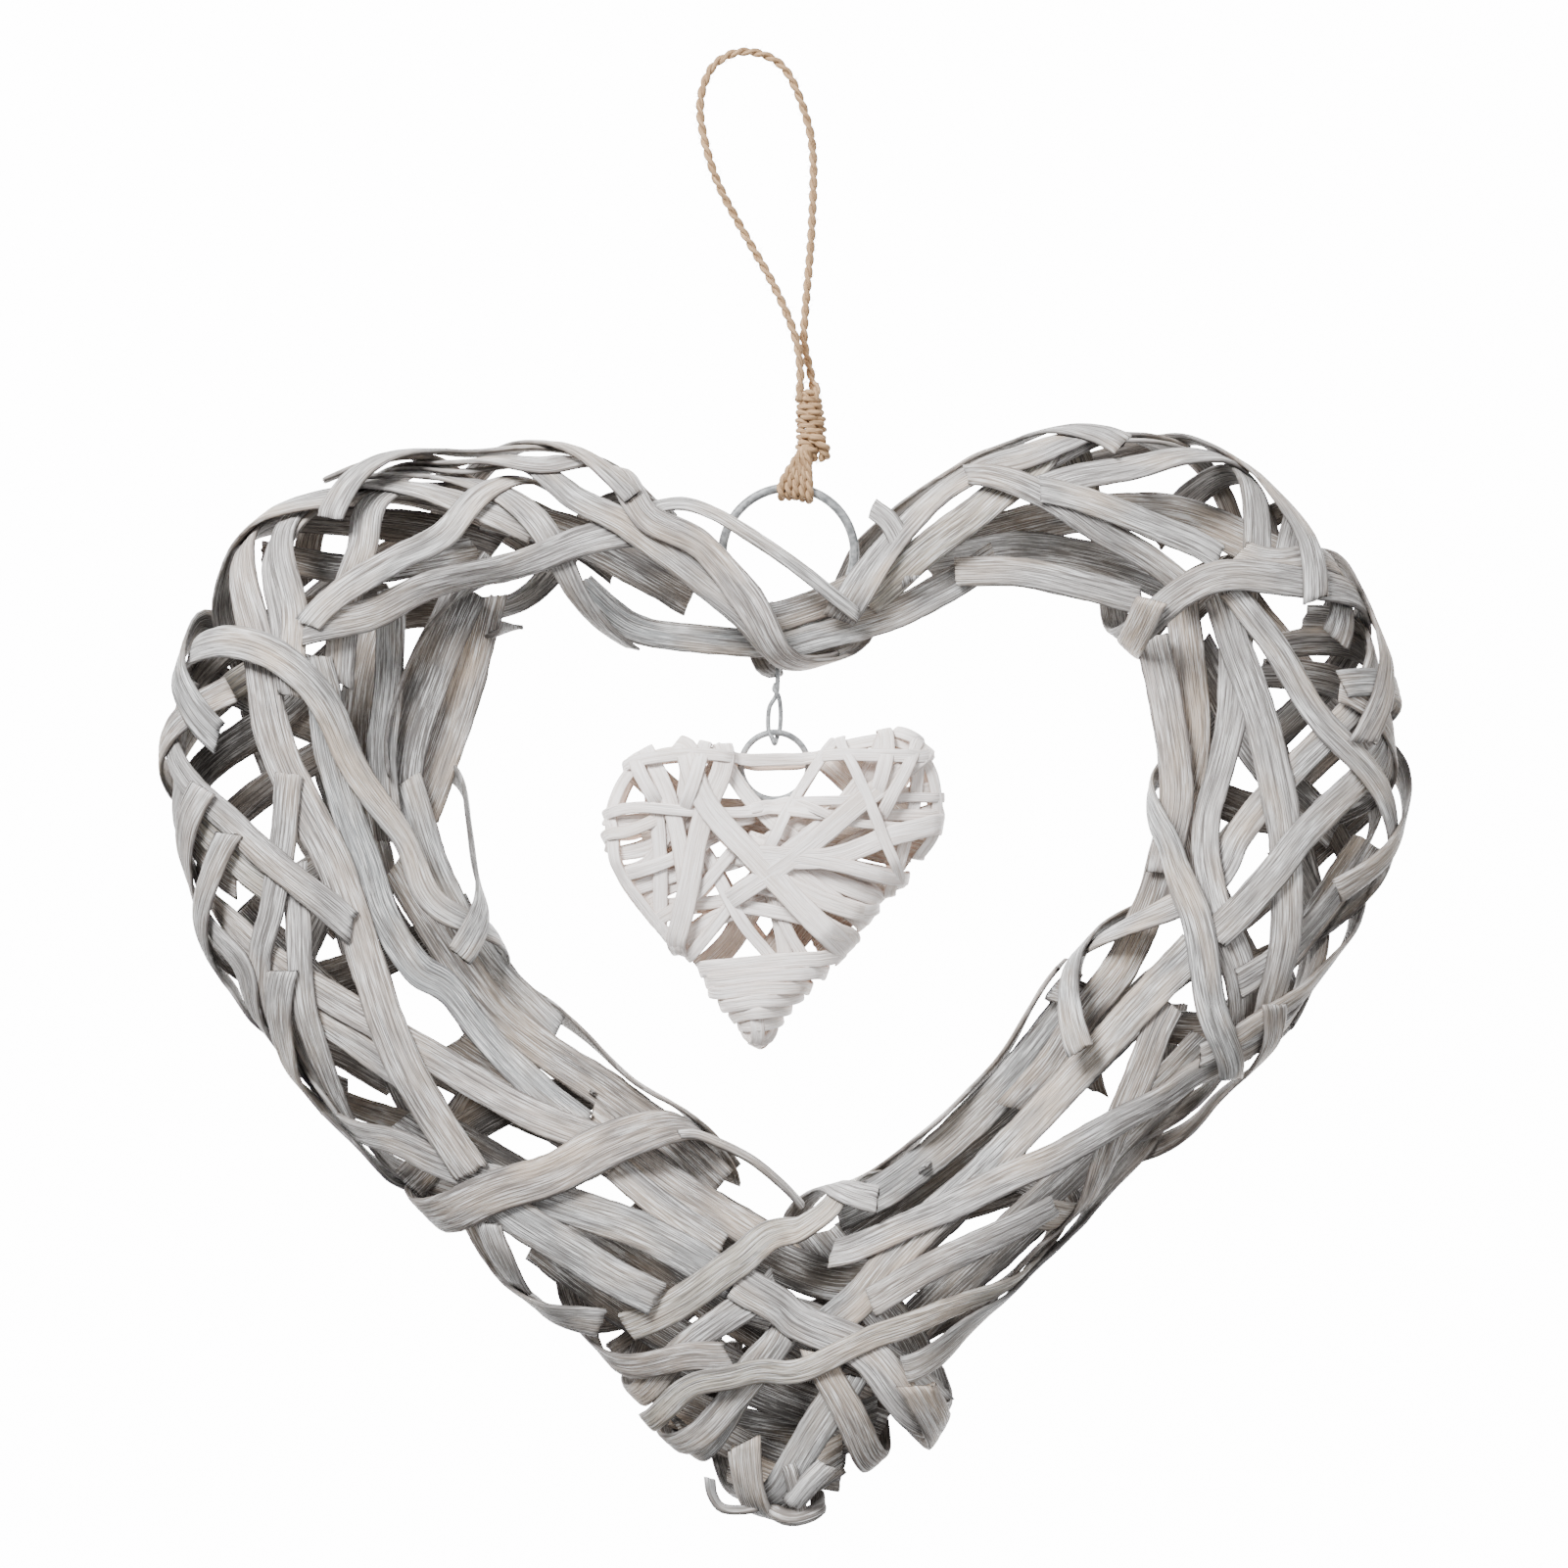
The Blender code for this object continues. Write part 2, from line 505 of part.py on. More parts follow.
def settled_route(tube, width, face, turn_on, turn_off, places):
    """The route whose strip, once lifted, is seen where the places say."""
    wanted = np.array(places, float)
    aimed = wanted.copy()
    for _ in range(SETTLE_ROUNDS):
        route, first = strip_route(tube, face, turn_on, turn_off, aimed)
        if face == BACK:
            break
        keep, _, middle = lay_strip(tube, width, route, settle=False)
        marks = (first + np.arange(len(wanted))) * ROUTE_STEPS
        spots = np.stack([np.interp(marks, keep, middle[:, k]) for k in range(3)], axis=1)
        middle_seen = np.array(SEEN_MIDDLE)
        nearer = 1.0 + spots[:, 1:2] / SEEN_FROM
        target = middle_seen + (wanted - middle_seen) * nearer
        aimed = aimed + np.clip(target - spots[:, [0, 2]] / SHARE, -LARGEST_SHIFT, LARGEST_SHIFT)
    return strip_route(tube, face, turn_on, turn_off, aimed)[0]


def to_world(points):
    """From the wreath's own millimetres to metres from the top of the loop."""
    return (np.asarray(points) + np.array([CENTRE_X, 0.0, -LOOP_TO_TIP])) * MM


def loft_mesh(name, sections, closed=False):
    """Skin equal sections into one closed body, with flat ends unless it closes on itself."""
    count, sides = sections.shape[:2]
    mesh = bmesh.new()
    rings = [[mesh.verts.new(tuple(p)) for p in ring] for ring in sections]
    for k in range(count if closed else count - 1):
        here, there = rings[k], rings[(k + 1) % count]
        for s in range(sides):
            corners = (here[s], here[(s + 1) % sides], there[(s + 1) % sides], there[s])
            if closed or sides != STRIP_SIDES:
                mesh.faces.new(corners)
                continue
            # A strip's two broad faces fold along the same diagonal, so that they stay parallel.
            a, b, c, d = corners if s < STRIP_SIDES // 2 else corners[1:] + corners[:1]
            mesh.faces.new((a, b, c))
            mesh.faces.new((a, c, d))
    if not closed:
        mesh.faces.new(rings[0][::-1])
        mesh.faces.new(rings[-1])
    bmesh.ops.recalc_face_normals(mesh, faces=mesh.faces)
    data = bpy.data.meshes.new(name)
    mesh.to_mesh(data)
    mesh.free()
    return data


def build_wreath(collection, material):
    """Every strip of the big heart, in winding order."""
    tube = WindingTube()
    for name, width, face, turn_on, turn_off, places in STRIPS:
        if face == INSIDE:
            corners = place_inside(tube, width * SHARE, turn_on, places)
        else:
            route = settled_route(tube, width * SHARE, face, turn_on, turn_off, places)
            corners = lay_strip(tube, width * SHARE, route)[1]
        add_object(name, loft_mesh(name, to_world(corners)), material, collection)


def outline_distance(spots, outline):
    """Distance from each place inside the small heart to its rim."""
    start = outline[None, :, :]
    step = (np.roll(outline, -1, 0) - outline)[None, :, :]
    off = spots[:, None, :] - start
    share = np.clip((off * step).sum(-1) / (step * step).sum(-1), 0.0, 1.0)
    return np.linalg.norm(off - step * share[..., None], axis=-1).min(axis=1)


def small_depth(spots, outline):
    """Half depth of the small heart's core, which rounds off towards its rim."""
    inset = np.clip(outline_distance(spots, outline) / SMALL_RIM, 0.0, 1.0)
    return SMALL_HALF_DEPTH * np.sqrt(np.clip(1.0 - (1.0 - inset) ** 2, 0.0, 1.0))


def small_turn(start, finish, width, level, outline):
    """One turn of the small heart: over the front, round the rim and over the back."""
    start = np.array(start, float) * SMALL_SHARE
    finish = np.array(finish, float) * SMALL_SHARE
    swing = np.linspace(0.0, math.pi, SMALL_TURN_STEPS)
    share = (1 - np.cos(swing)) / 2
    line = start + (finish - start) * share[:, None]
    deep = small_depth(line, outline)
    deep[2:-2] = np.maximum(deep[2:-2], SMALL_LEAST)
    deep[0] = deep[-1] = 0.0
    heading = (finish - start) / np.linalg.norm(finish - start)
    reach = SMALL_THICK + level * SMALL_LEVEL
    rows = []
    for face in (-1, 1):
        order = range(len(line)) if face == -1 else range(len(line) - 2, 0, -1)
        for k in order:
            rows.append((line[k][0], face * deep[k], line[k][1]))
    rows = np.array(rows)
    ahead = unit(np.roll(rows, -1, 0) - np.roll(rows, 1, 0))
    flat_side = np.array([-heading[1], 0.0, heading[0]])
    outward = np.cross(ahead, flat_side)
    if outward[SMALL_TURN_STEPS // 2][1] > 0:
        outward = -outward
    inner = rows + outward * (reach - SMALL_THICK)
    outer = rows + outward * reach
    wide = flat_side * width / 2
    return np.stack([inner - wide, inner + wide, outer + wide, outer - wide], axis=1)


def build_small_heart(collection, material):
    """The turns of the small heart, fused where they cross."""
    outline = np.array(SMALL_OUTLINE, float) * SMALL_SHARE
    shift = np.array([SMALL_X, 0.0, SMALL_UP])
    body = None
    for number, (start, finish, width, level) in enumerate(SMALL_TURNS):
        sections = small_turn(start, finish, width, level, outline) + shift
        data = loft_mesh(f"turn_{number}", to_world(sections), closed=True)
        item = add_object(f"turn_{number}", data, material, collection)
        if body is None:
            body = item
            continue
        join = body.modifiers.new("join", "BOOLEAN")
        join.operation = "UNION"
        join.object = item
        settled = bpy.data.meshes.new_from_object(body.evaluated_get(bpy.context.evaluated_depsgraph_get()))
        body.modifiers.remove(join)
        body.data = settled
        bpy.data.objects.remove(item, do_unlink=True)
    body.name = "small_heart"


def wire(name, points, diameter, collection, material, resolution=2, closed=False):
    """A round wire along points in world metres."""
    curve = bpy.data.curves.new(name, "CURVE")
    curve.dimensions = "3D"
    curve.bevel_depth = diameter / 2 * MM
    curve.bevel_resolution = resolution
    curve.use_fill_caps = not closed
    line = curve.splines.new("POLY")
    line.points.add(len(points) - 1)
    line.points.foreach_set("co", np.c_[points, np.ones(len(points))].ravel())
    line.use_cyclic_u = closed
    return add_object(name, curve, material, collection)


def ring(name, diameter, thickness, x, up, rounds, collection, material):
    """A closed ring of round wire, standing square to the front."""
    bpy.ops.mesh.primitive_torus_add(
        major_segments=rounds, minor_segments=RING_SIDES, major_radius=(diameter - thickness) / 2 * MM,
        minor_radius=thickness / 2 * MM, location=tuple(to_world((x, 0.0, up))),
        rotation=(math.pi / 2, 0.0, 0.0))
    item = bpy.context.object
    item.name = name
    item.data.materials.append(material)
    for holder in list(item.users_collection):
        holder.objects.unlink(item)
    collection.objects.link(item)
    item.data.shade_smooth()
    return item


def build_hanger(collection, material):
    """Wire that comes down from the cleft and hooks round the small ring's top."""
    ring_top = SMALL_RING_UP + SMALL_RING_DIAMETER / 2 - SMALL_RING_WIRE
    hook = HANGER_WIRE / 2 + SMALL_RING_WIRE + HANGER_SLACK
    route = [(HANGER_X, 0.0, HANGER_TOP_UP), (HANGER_X, 0.0, HANGER_TOP_UP - HANGER_STRAIGHT),
             (HANGER_X - HANGER_BOW, 0.0, ring_top + 3 * hook)]
    for k in range(HOOK_STEPS):
        swing = HOOK_START - HOOK_STEP * k
        rise = ring_top + HANGER_SLACK + hook * math.sin(swing)
        route.append((SMALL_RING_X, -hook * math.cos(swing), rise))
    wire("hanger_wire", to_world(smooth_line(route, WAY_STEPS)), HANGER_WIRE, collection, material)


def build_twine(collection, material):
    """The hanging loop, and the wrapped knot that grips the large ring."""
    wire("twine_loop", smooth_line(np.array(TWINE_ROUTE), WAY_STEPS) * MM, TWINE, collection, material)
    ends = np.array([TWINE_ROUTE[0], TWINE_ROUTE[-1]])
    ring_top = RING_UP + RING_DIAMETER / 2 - LOOP_TO_TIP
    top = ends[0][2] - TWINE / 2 - LAY_GAP
    low = ring_top + LAY_GAP
    x = (ends[0][0] + ends[1][0]) / 2
    profile = ((KNOT_NECK, top), (0.95, top - KNOT_SHOULDER), (1.0, top - KNOT_WAIST),
               (0.75, low + KNOT_HIPS), (0.9, low + KNOT_HEM), (1.05, low))
    lean = (CENTRE_X + KNOT_FOOT_SHIFT - x) / (low - top)
    sections = []
    for scale, up in profile:
        swing = np.linspace(0, 2 * math.pi, KNOT_SIDES, endpoint=False)
        across = x + lean * (up - top) + KNOT_WIDTH / 2 * scale * np.cos(swing)
        deep = KNOT_DEPTH / 2 * scale * np.sin(swing)
        sections.append(np.stack([across, deep, np.full(KNOT_SIDES, up)], axis=1) * MM)
    add_object("twine_knot", loft_mesh("twine_knot", np.array(sections)), material, collection)


def main():
    """Build the wreath, the small heart, the rings, the wire and the twine."""
    clear_scene()
    collection = bpy.data.collections.new("willow_heart_wreath")
    bpy.context.scene.collection.children.link(collection)
    grey = make_material("washed_willow", WASHED_GREY, 0.8)
    white = make_material("white_willow", WASHED_WHITE, 0.75)
    zinc = make_material("zinc_wire", ZINC, 0.45, 0.9)
    jute = make_material("jute", JUTE, 0.95)
    build_wreath(collection, grey)
    build_small_heart(collection, white)
    ring("large_ring", RING_DIAMETER, RING_WIRE, 0.0, RING_UP, RING_STEPS, collection, zinc)
    ring("small_ring", SMALL_RING_DIAMETER, SMALL_RING_WIRE, SMALL_RING_X, SMALL_RING_UP,
         SMALL_RING_STEPS, collection, zinc)
    build_hanger(collection, zinc)
    build_twine(collection, jute)


main()
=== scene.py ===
# %% [markdown]
# The wreath hangs from its twine in front of a bright white studio wall. This first
# cell loads the exact CAD frame, so that every fine surface made below stands where the
# solid one does.

# %% Load the frame
"""Looks of a heart-shaped willow wreath.

Each willow strip is a flat profile carried along a path: a point of its surface is the
path's point, plus the sideways direction times how far across it lies, plus the outward
direction times the profile's height there. The path itself runs on a bulged tube, and is
lifted over whatever was wound before it.
"""
import math

import bpy
import numpy as np
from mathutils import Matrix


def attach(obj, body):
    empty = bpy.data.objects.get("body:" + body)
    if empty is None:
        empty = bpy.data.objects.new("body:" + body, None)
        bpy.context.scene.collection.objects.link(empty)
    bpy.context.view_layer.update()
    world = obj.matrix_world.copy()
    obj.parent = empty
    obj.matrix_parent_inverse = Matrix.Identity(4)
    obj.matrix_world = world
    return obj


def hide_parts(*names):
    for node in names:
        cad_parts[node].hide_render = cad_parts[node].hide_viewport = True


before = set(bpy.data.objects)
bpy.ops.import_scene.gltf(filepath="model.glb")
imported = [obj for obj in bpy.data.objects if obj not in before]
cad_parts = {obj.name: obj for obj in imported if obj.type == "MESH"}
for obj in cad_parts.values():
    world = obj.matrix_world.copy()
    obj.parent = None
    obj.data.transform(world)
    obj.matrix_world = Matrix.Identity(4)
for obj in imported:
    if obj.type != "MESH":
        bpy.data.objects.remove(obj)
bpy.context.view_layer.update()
MM = 0.001

# %% [markdown]
# A long lens from about a metre away sees the wreath square on, with very little
# perspective. The twine loop is at the origin, so the camera looks at the middle of
# the picture, some way below it.

# %% Camera
VIEW_CENTRE = (0.0071, -0.1487)
VIEW_WIDE = 0.3202
VIEW_FAR = 1.0
SENSOR_MM = 36.0
lens_data = bpy.data.cameras.new("camera")
lens_data.lens = SENSOR_MM * VIEW_FAR / VIEW_WIDE
lens_data.sensor_width = SENSOR_MM
camera = bpy.data.objects.new("camera", lens_data)
camera.location = (VIEW_CENTRE[0], -VIEW_FAR, VIEW_CENTRE[1])
camera.rotation_euler = (math.pi / 2, 0.0, 0.0)
bpy.context.scene.collection.objects.link(camera)
bpy.context.scene.camera = camera
print("lens", round(lens_data.lens, 1), "mm")

# %% [markdown]
# The photograph has a pure white ground and soft light from everywhere, a little
# stronger from above and from the left. A glowing white wall far behind gives the
# ground, and three big area lights give soft shadows between the strips.

# %% Small helpers for nodes
def add_node(tree, kind, **values):
    """A new node, with values put on its input sockets by name."""
    node = tree.nodes.new(kind)
    for socket, value in values.items():
        node.inputs[socket.replace("_", " ")].default_value = value
    return node


def plain_material(name):
    """A material with a Principled shader; returns it, its tree and the shader."""
    material = bpy.data.materials.new(name)
    material.use_nodes = True
    tree = material.node_tree
    return material, tree, tree.nodes["Principled BSDF"]


def raise_relief(tree, height, shader, strength, distance):
    """A Bump node turns a height into the shader's normal."""
    relief = add_node(tree, "ShaderNodeBump", Strength=strength, Distance=distance)
    tree.links.new(height, relief.inputs["Height"])
    tree.links.new(relief.outputs["Normal"], shader.inputs["Normal"])


print("node helpers ready")

# %% World and wall
WHITE = (1.0, 1.0, 1.0, 1.0)
SKY_GLOW = 0.24
WALL_GLOW = 14.0
WALL_HALF = 1.6
WALL_CENTRE = (0.0, 1.4, -0.15)
world = bpy.data.worlds.new("studio")
world.use_nodes = True
sky = world.node_tree.nodes["Background"].inputs
sky["Color"].default_value = WHITE
sky["Strength"].default_value = SKY_GLOW
bpy.context.scene.world = world

wall_material, _, wall_shader = plain_material("white_wall")
wall_shader.inputs["Base Color"].default_value = WHITE
wall_shader.inputs["Emission Color"].default_value = WHITE
wall_shader.inputs["Emission Strength"].default_value = WALL_GLOW


def flat_square(name, half, centre, turn, material):
    """A square sheet of half size half, turned about X and set at centre."""
    corners = np.array([(-1, -1, 0), (1, -1, 0), (1, 1, 0), (-1, 1, 0)], float) * half
    cosine, sine = math.cos(turn), math.sin(turn)
    swing = np.array([(1, 0, 0), (0, cosine, -sine), (0, sine, cosine)])
    mesh = bpy.data.meshes.new(name)
    mesh.from_pydata((corners @ swing.T + np.array(centre)).tolist(), [], [(0, 1, 2, 3)])
    mesh.materials.append(material)
    item = bpy.data.objects.new(name, mesh)
    bpy.context.scene.collection.objects.link(item)
    return item


wall = flat_square("wall", WALL_HALF, WALL_CENTRE, math.pi / 2, wall_material)
print("wall stands", WALL_CENTRE[1], "m behind the wreath")

# %% Lights
# Each light: its name, place, side and power.
MIDDLE = (0.007, 0.0, -0.19)
LIGHTS = (
    ("key", (-0.45, -0.75, 0.55), 0.42, 39.5),
    ("fill", (0.65, -0.8, 0.1), 0.6, 5.5),
    ("low", (0.0, -0.8, -0.7), 0.7, 1.5),
)


def area_light(name, place, aim, size, power):
    """A square area light at place, turned towards aim."""
    data = bpy.data.lights.new(name, "AREA")
    data.size = size
    data.energy = power
    lamp = bpy.data.objects.new(name, data)
    lamp.location = place
    way = np.array(aim, float) - np.array(place, float)
    pitch = math.atan2(math.hypot(way[0], way[1]), -way[2])
    lamp.rotation_euler = (pitch, 0.0, math.atan2(way[1], way[0]) - math.pi / 2)
    bpy.context.scene.collection.objects.link(lamp)


for name, place, size, power in LIGHTS:
    area_light(name, place, MIDDLE, size, power)
print(len(LIGHTS), "lights aim at", MIDDLE)

# %% [markdown]
# Split willow has straight grain lines along its length, blotches where the grey wash
# stayed, and now and then a bud scar. All of that follows the strip, so the pattern
# reads the strip's own map: centimetres along and across. One node group makes it, and
# the grey and the white willow use it with their own values.

# %% Grain node group
# Each noise: its cells for each centimetre along and across the strip, shift and detail.
GRAIN_NOISES = {
    "Lines": (0.22, 14.0, 0.0, 4.0),
    "Fine": (1.1, 44.0, 3.1, 3.0),
    "Blotches": (0.9, 2.4, 7.3, 5.0),
    "Warm": (0.42, 1.1, 11.9, 2.0),
}
NOISE_ROUGHNESS = 0.6
SCAR_CELLS = (0.34, 1.1, 1.0)
SCAR_RIM = 0.085
SCAR_CORE = 0.04
LINE_SHARE = 0.7


def grain_group():
    """Grain lines, blotches, bud scars and a height, from a strip's own map."""
    group = bpy.data.node_groups.new("willow_grain", "ShaderNodeTree")
    group.interface.new_socket("Place", in_out="INPUT", socket_type="NodeSocketVector")
    for name in (*GRAIN_NOISES, "Scars", "Height"):
        group.interface.new_socket(name, in_out="OUTPUT", socket_type="NodeSocketFloat")
    inlet = group.nodes.new("NodeGroupInput")
    outlet = group.nodes.new("NodeGroupOutput")

    def noise(along, across, shift, detail):
        """Noise with so many cells for each centimetre along and across the strip."""
        stretch = add_node(group, "ShaderNodeMapping", Scale=(along, across, 1.0),
                           Location=(shift, shift, shift))
        source = add_node(group, "ShaderNodeTexNoise", Scale=1.0, Detail=detail,
                          Roughness=NOISE_ROUGHNESS)
        group.links.new(inlet.outputs["Place"], stretch.inputs["Vector"])
        group.links.new(stretch.outputs["Vector"], source.inputs["Vector"])
        return source.outputs["Fac"]

    shown = {name: noise(*values) for name, values in GRAIN_NOISES.items()}
    stretch = add_node(group, "ShaderNodeMapping", Scale=SCAR_CELLS)
    cells = add_node(group, "ShaderNodeTexVoronoi", Scale=1.0)
    near = add_node(group, "ShaderNodeMapRange", From_Min=SCAR_RIM, From_Max=SCAR_CORE)
    group.links.new(inlet.outputs["Place"], stretch.inputs["Vector"])
    group.links.new(stretch.outputs["Vector"], cells.inputs["Vector"])
    group.links.new(cells.outputs["Distance"], near.inputs["Value"])
    add = group.nodes.new("ShaderNodeMath")
    add.operation = "MULTIPLY_ADD"
    add.inputs[1].default_value = LINE_SHARE
    group.links.new(shown["Lines"], add.inputs[0])
    group.links.new(shown["Fine"], add.inputs[2])
    shown["Scars"] = near.outputs["Result"]
    shown["Height"] = add.outputs["Value"]
    for name, socket in shown.items():
        group.links.new(socket, outlet.inputs[name])
    return group


GRAIN = grain_group()
print("grain is made of", len(GRAIN_NOISES), "noises and the bud scars")

# %% [markdown]
# Each strip carries two colours of its own on its points. "tone" is the colour it was
# washed with. The other, for wear and painted shade, keeps three masks: how near the
# point is to a cut edge, whether it is on the under face, which is darkened partly as the
# rough inner side and partly as painted shade, and how warm the wood shows through the wash.

# %% Helpers for colours
def mix_colour(tree, share, low, high, blend="MIX"):
    """Mix two colours; each may be a socket or a colour, and share a socket or a number."""
    node = tree.nodes.new("ShaderNodeMix")
    node.data_type = "RGBA"
    node.blend_type = blend
    for socket, value in ((node.inputs[0], share), (node.inputs[6], low), (node.inputs[7], high)):
        if isinstance(value, bpy.types.NodeSocket):
            tree.links.new(value, socket)
        else:
            socket.default_value = value if isinstance(value, float) else (*value, 1.0)
    return node.outputs[2]


def remap(tree, value, start, end, low=0.0, high=1.0):
    """Stretch a value so that start gives low and end gives high, held in between."""
    node = tree.nodes.new("ShaderNodeMapRange")
    tree.links.new(value, node.inputs["Value"])
    for socket, number in (("From Min", start), ("From Max", end), ("To Min", low), ("To Max", high)):
        node.inputs[socket].default_value = number
    return node.outputs["Result"]


def times(tree, first, second):
    """The product of two sockets, or of a socket and a number."""
    node = tree.nodes.new("ShaderNodeMath")
    node.operation = "MULTIPLY"
    for socket, value in zip(node.inputs, (first, second)):
        if isinstance(value, bpy.types.NodeSocket):
            tree.links.new(value, socket)
        else:
            socket.default_value = value
    return node.outputs[0]


print("colour helpers ready")

# %% Willow materials
# Each range: the value where a pattern starts to show, and where it shows fully. Over
# ROUGH_RANGE the fine grain's roughness goes from one end of ROUGHNESS to the other.
LINE_RANGE = (0.52, 0.42)
WARM_RANGE = (0.46, 0.66)
BLOTCH_RANGE = (0.44, 0.56)
WASHED_RANGE = (0.50, 0.58)
FINE_DARK_RANGE = (0.48, 0.41)
EDGE_RANGE = (0.84, 1.0)
ROUGH_RANGE = (0.3, 0.7)
ROUGHNESS = (0.68, 0.9)
LEAST_WASH = 0.35
FINE_SHARE = 0.8
SCAR_SHARE = 0.55
EDGE_SHARE = 0.6
WILLOW_SHINE = 0.1
GRAIN_RELIEF = 0.0004


def willow_material(name, wash, warm_wood, dark, line_depth, wash_share, under_shade, bump):
    """Washed willow: grain lines, blotches of wash, warm patches, scars and darker edges; the under face is
    darker, partly as rough inner wood and partly as painted shade.
    """
    material, tree, shader = plain_material(name)
    place = tree.nodes.new("ShaderNodeUVMap")
    place.uv_map = "strip"
    grain = tree.nodes.new("ShaderNodeGroup")
    grain.node_tree = GRAIN
    tree.links.new(place.outputs["UV"], grain.inputs["Place"])
    tone = tree.nodes.new("ShaderNodeAttribute")
    tone.attribute_name = "tone"
    wear_and_shade = tree.nodes.new("ShaderNodeAttribute")
    wear_and_shade.attribute_name = "wear_and_shade"
    masks = tree.nodes.new("ShaderNodeSeparateColor")
    tree.links.new(wear_and_shade.outputs["Color"], masks.inputs["Color"])
    edge, under, warmth = masks.outputs
    shown = grain.outputs
    lines = remap(tree, shown["Lines"], *LINE_RANGE, 0.0, line_depth)
    body = mix_colour(tree, lines, tone.outputs["Color"], dark)
    patches = times(tree, remap(tree, shown["Warm"], *WARM_RANGE), warmth)
    body = mix_colour(tree, patches, body, warm_wood)
    blotches = remap(tree, shown["Blotches"], *BLOTCH_RANGE, wash_share * LEAST_WASH, wash_share)
    fine = remap(tree, shown["Fine"], *WASHED_RANGE)
    body = mix_colour(tree, times(tree, blotches, fine), body, wash)
    dark_fine = remap(tree, shown["Fine"], *FINE_DARK_RANGE, 0.0, line_depth * FINE_SHARE)
    body = mix_colour(tree, dark_fine, body, dark)
    body = mix_colour(tree, times(tree, shown["Scars"], SCAR_SHARE), body, dark)
    body = mix_colour(tree, times(tree, remap(tree, edge, *EDGE_RANGE), EDGE_SHARE), body, dark)
    # The under face is darkened: partly the rough inner side's own colour, partly painted shade.
    body = mix_colour(tree, under, body, under_shade, "MULTIPLY")
    tree.links.new(body, shader.inputs["Base Color"])
    tree.links.new(remap(tree, shown["Fine"], *ROUGH_RANGE, *ROUGHNESS), shader.inputs["Roughness"])
    shader.inputs["Specular IOR Level"].default_value = WILLOW_SHINE
    raise_relief(tree, shown["Height"], shader, bump, GRAIN_RELIEF)
    return material


# Each under_shade colour darkens a strip's under face: partly the rough inner side, partly painted shade.
GREY_WILLOW = willow_material(
    "washed_willow", wash=(0.80, 0.80, 0.80), warm_wood=(0.55, 0.44, 0.34), dark=(0.13, 0.12, 0.115),
    line_depth=0.8, wash_share=0.8, under_shade=(0.45, 0.44, 0.43), bump=1.0)
WHITE_WILLOW = willow_material(
    "white_willow", wash=(0.98, 0.97, 0.965), warm_wood=(0.80, 0.70, 0.62), dark=(0.50, 0.41, 0.36),
    line_depth=0.4, wash_share=0.66, under_shade=(0.76, 0.66, 0.59), bump=0.8)
print("willow materials ready")

# %% [markdown]
# The jute cord is the one free cord. Real twine is two twisted yarns, so the cord is
# two round yarns that wind about the same line, with a few loose fibres standing off.
# It is made first.

# %% Helpers for paths and round wire
def unit(vectors):
    """Vectors brought to length one."""
    return vectors / np.maximum(np.linalg.norm(vectors, axis=-1, keepdims=True), 1e-12)


def smooth_line(points, count, closed=False):
    """Catmull-Rom curve through the points, count samples from each to the next."""
    points = np.asarray(points, float)
    total = len(points)
    if closed:
        before, after, beyond = np.roll(points, 1, 0), np.roll(points, -1, 0), np.roll(points, -2, 0)
        start = points
    else:
        padded = np.vstack([2 * points[0] - points[1], points, 2 * points[-1] - points[-2]])
        before, start, after, beyond = padded[:-3], padded[1:-2], padded[2:-1], padded[3:]
        total -= 1
    t = np.linspace(0.0, 1.0, count, endpoint=False)[None, :, None]
    before, start, after, beyond = (a[:, None, :] for a in (before, start, after, beyond))
    curve = 0.5 * (2 * start + (after - before) * t
                   + (2 * before - 5 * start + 4 * after - beyond) * t ** 2
                   + (3 * start - 3 * after + beyond - before) * t ** 3)
    curve = curve.reshape(total * count, -1)
    return curve if closed else np.vstack([curve, points[-1]])


def run_of(points):
    """Distance along a line of points, from its start."""
    return np.concatenate([[0.0], np.cumsum(np.linalg.norm(np.diff(points, axis=0), axis=1))])


def even_line(points, step):
    """The same line with evenly spaced points, about step apart."""
    run = run_of(points)
    at = np.linspace(0.0, run[-1], max(2, int(run[-1] / step) + 1))
    return np.stack([np.interp(at, run, points[:, k]) for k in range(points.shape[1])], axis=1)


def blur(values, reach):
    """A running mean over reach samples each way, with the ends held."""
    size = 2 * reach + 1
    padded = np.concatenate([np.repeat(values[:1], reach, 0), values, np.repeat(values[-1:], reach, 0)])
    total = np.cumsum(np.concatenate([np.zeros_like(padded[:1]), padded]), axis=0)
    return (total[size:] - total[:-size]) / size


def wobble(run, wave, rng):
    """A gentle random wave along a line: three sines of shorter and shorter length."""
    phase = rng.uniform(0.0, 2 * math.pi, 3)
    stretch = rng.uniform(0.85, 1.15, 3)
    waves = wave * np.array([1.0, 0.53, 0.27]) * stretch
    return (np.sin(2 * math.pi * run[:, None] / waves + phase) * (0.55, 0.3, 0.15)).sum(axis=1)


def put_mesh(name, points, faces, material, maps=None, colours=()):
    """A mesh from points and faces, with its map and colours, riding on the one CAD body."""
    mesh = bpy.data.meshes.new(name)
    mesh.from_pydata(np.asarray(points).tolist(), [], faces)
    corner = np.zeros(len(mesh.loops), dtype=np.int32)
    mesh.loops.foreach_get("vertex_index", corner)
    if maps is not None:
        layer = mesh.uv_layers.new(name="strip")
        layer.data.foreach_set("uv", np.asarray(maps, np.float32)[corner].ravel())
    for label, values in colours:
        layer = mesh.attributes.new(label, "FLOAT_COLOR", "POINT")
        layer.data.foreach_set("color", np.c_[values, np.ones(len(values))].astype(np.float32).ravel())
    mesh.polygons.foreach_set("use_smooth", np.ones(len(mesh.polygons), bool))
    mesh.materials.append(material)
    mesh.update()
    item = bpy.data.objects.new(name, mesh)
    bpy.context.scene.collection.objects.link(item)
    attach(item, "root")
    return item


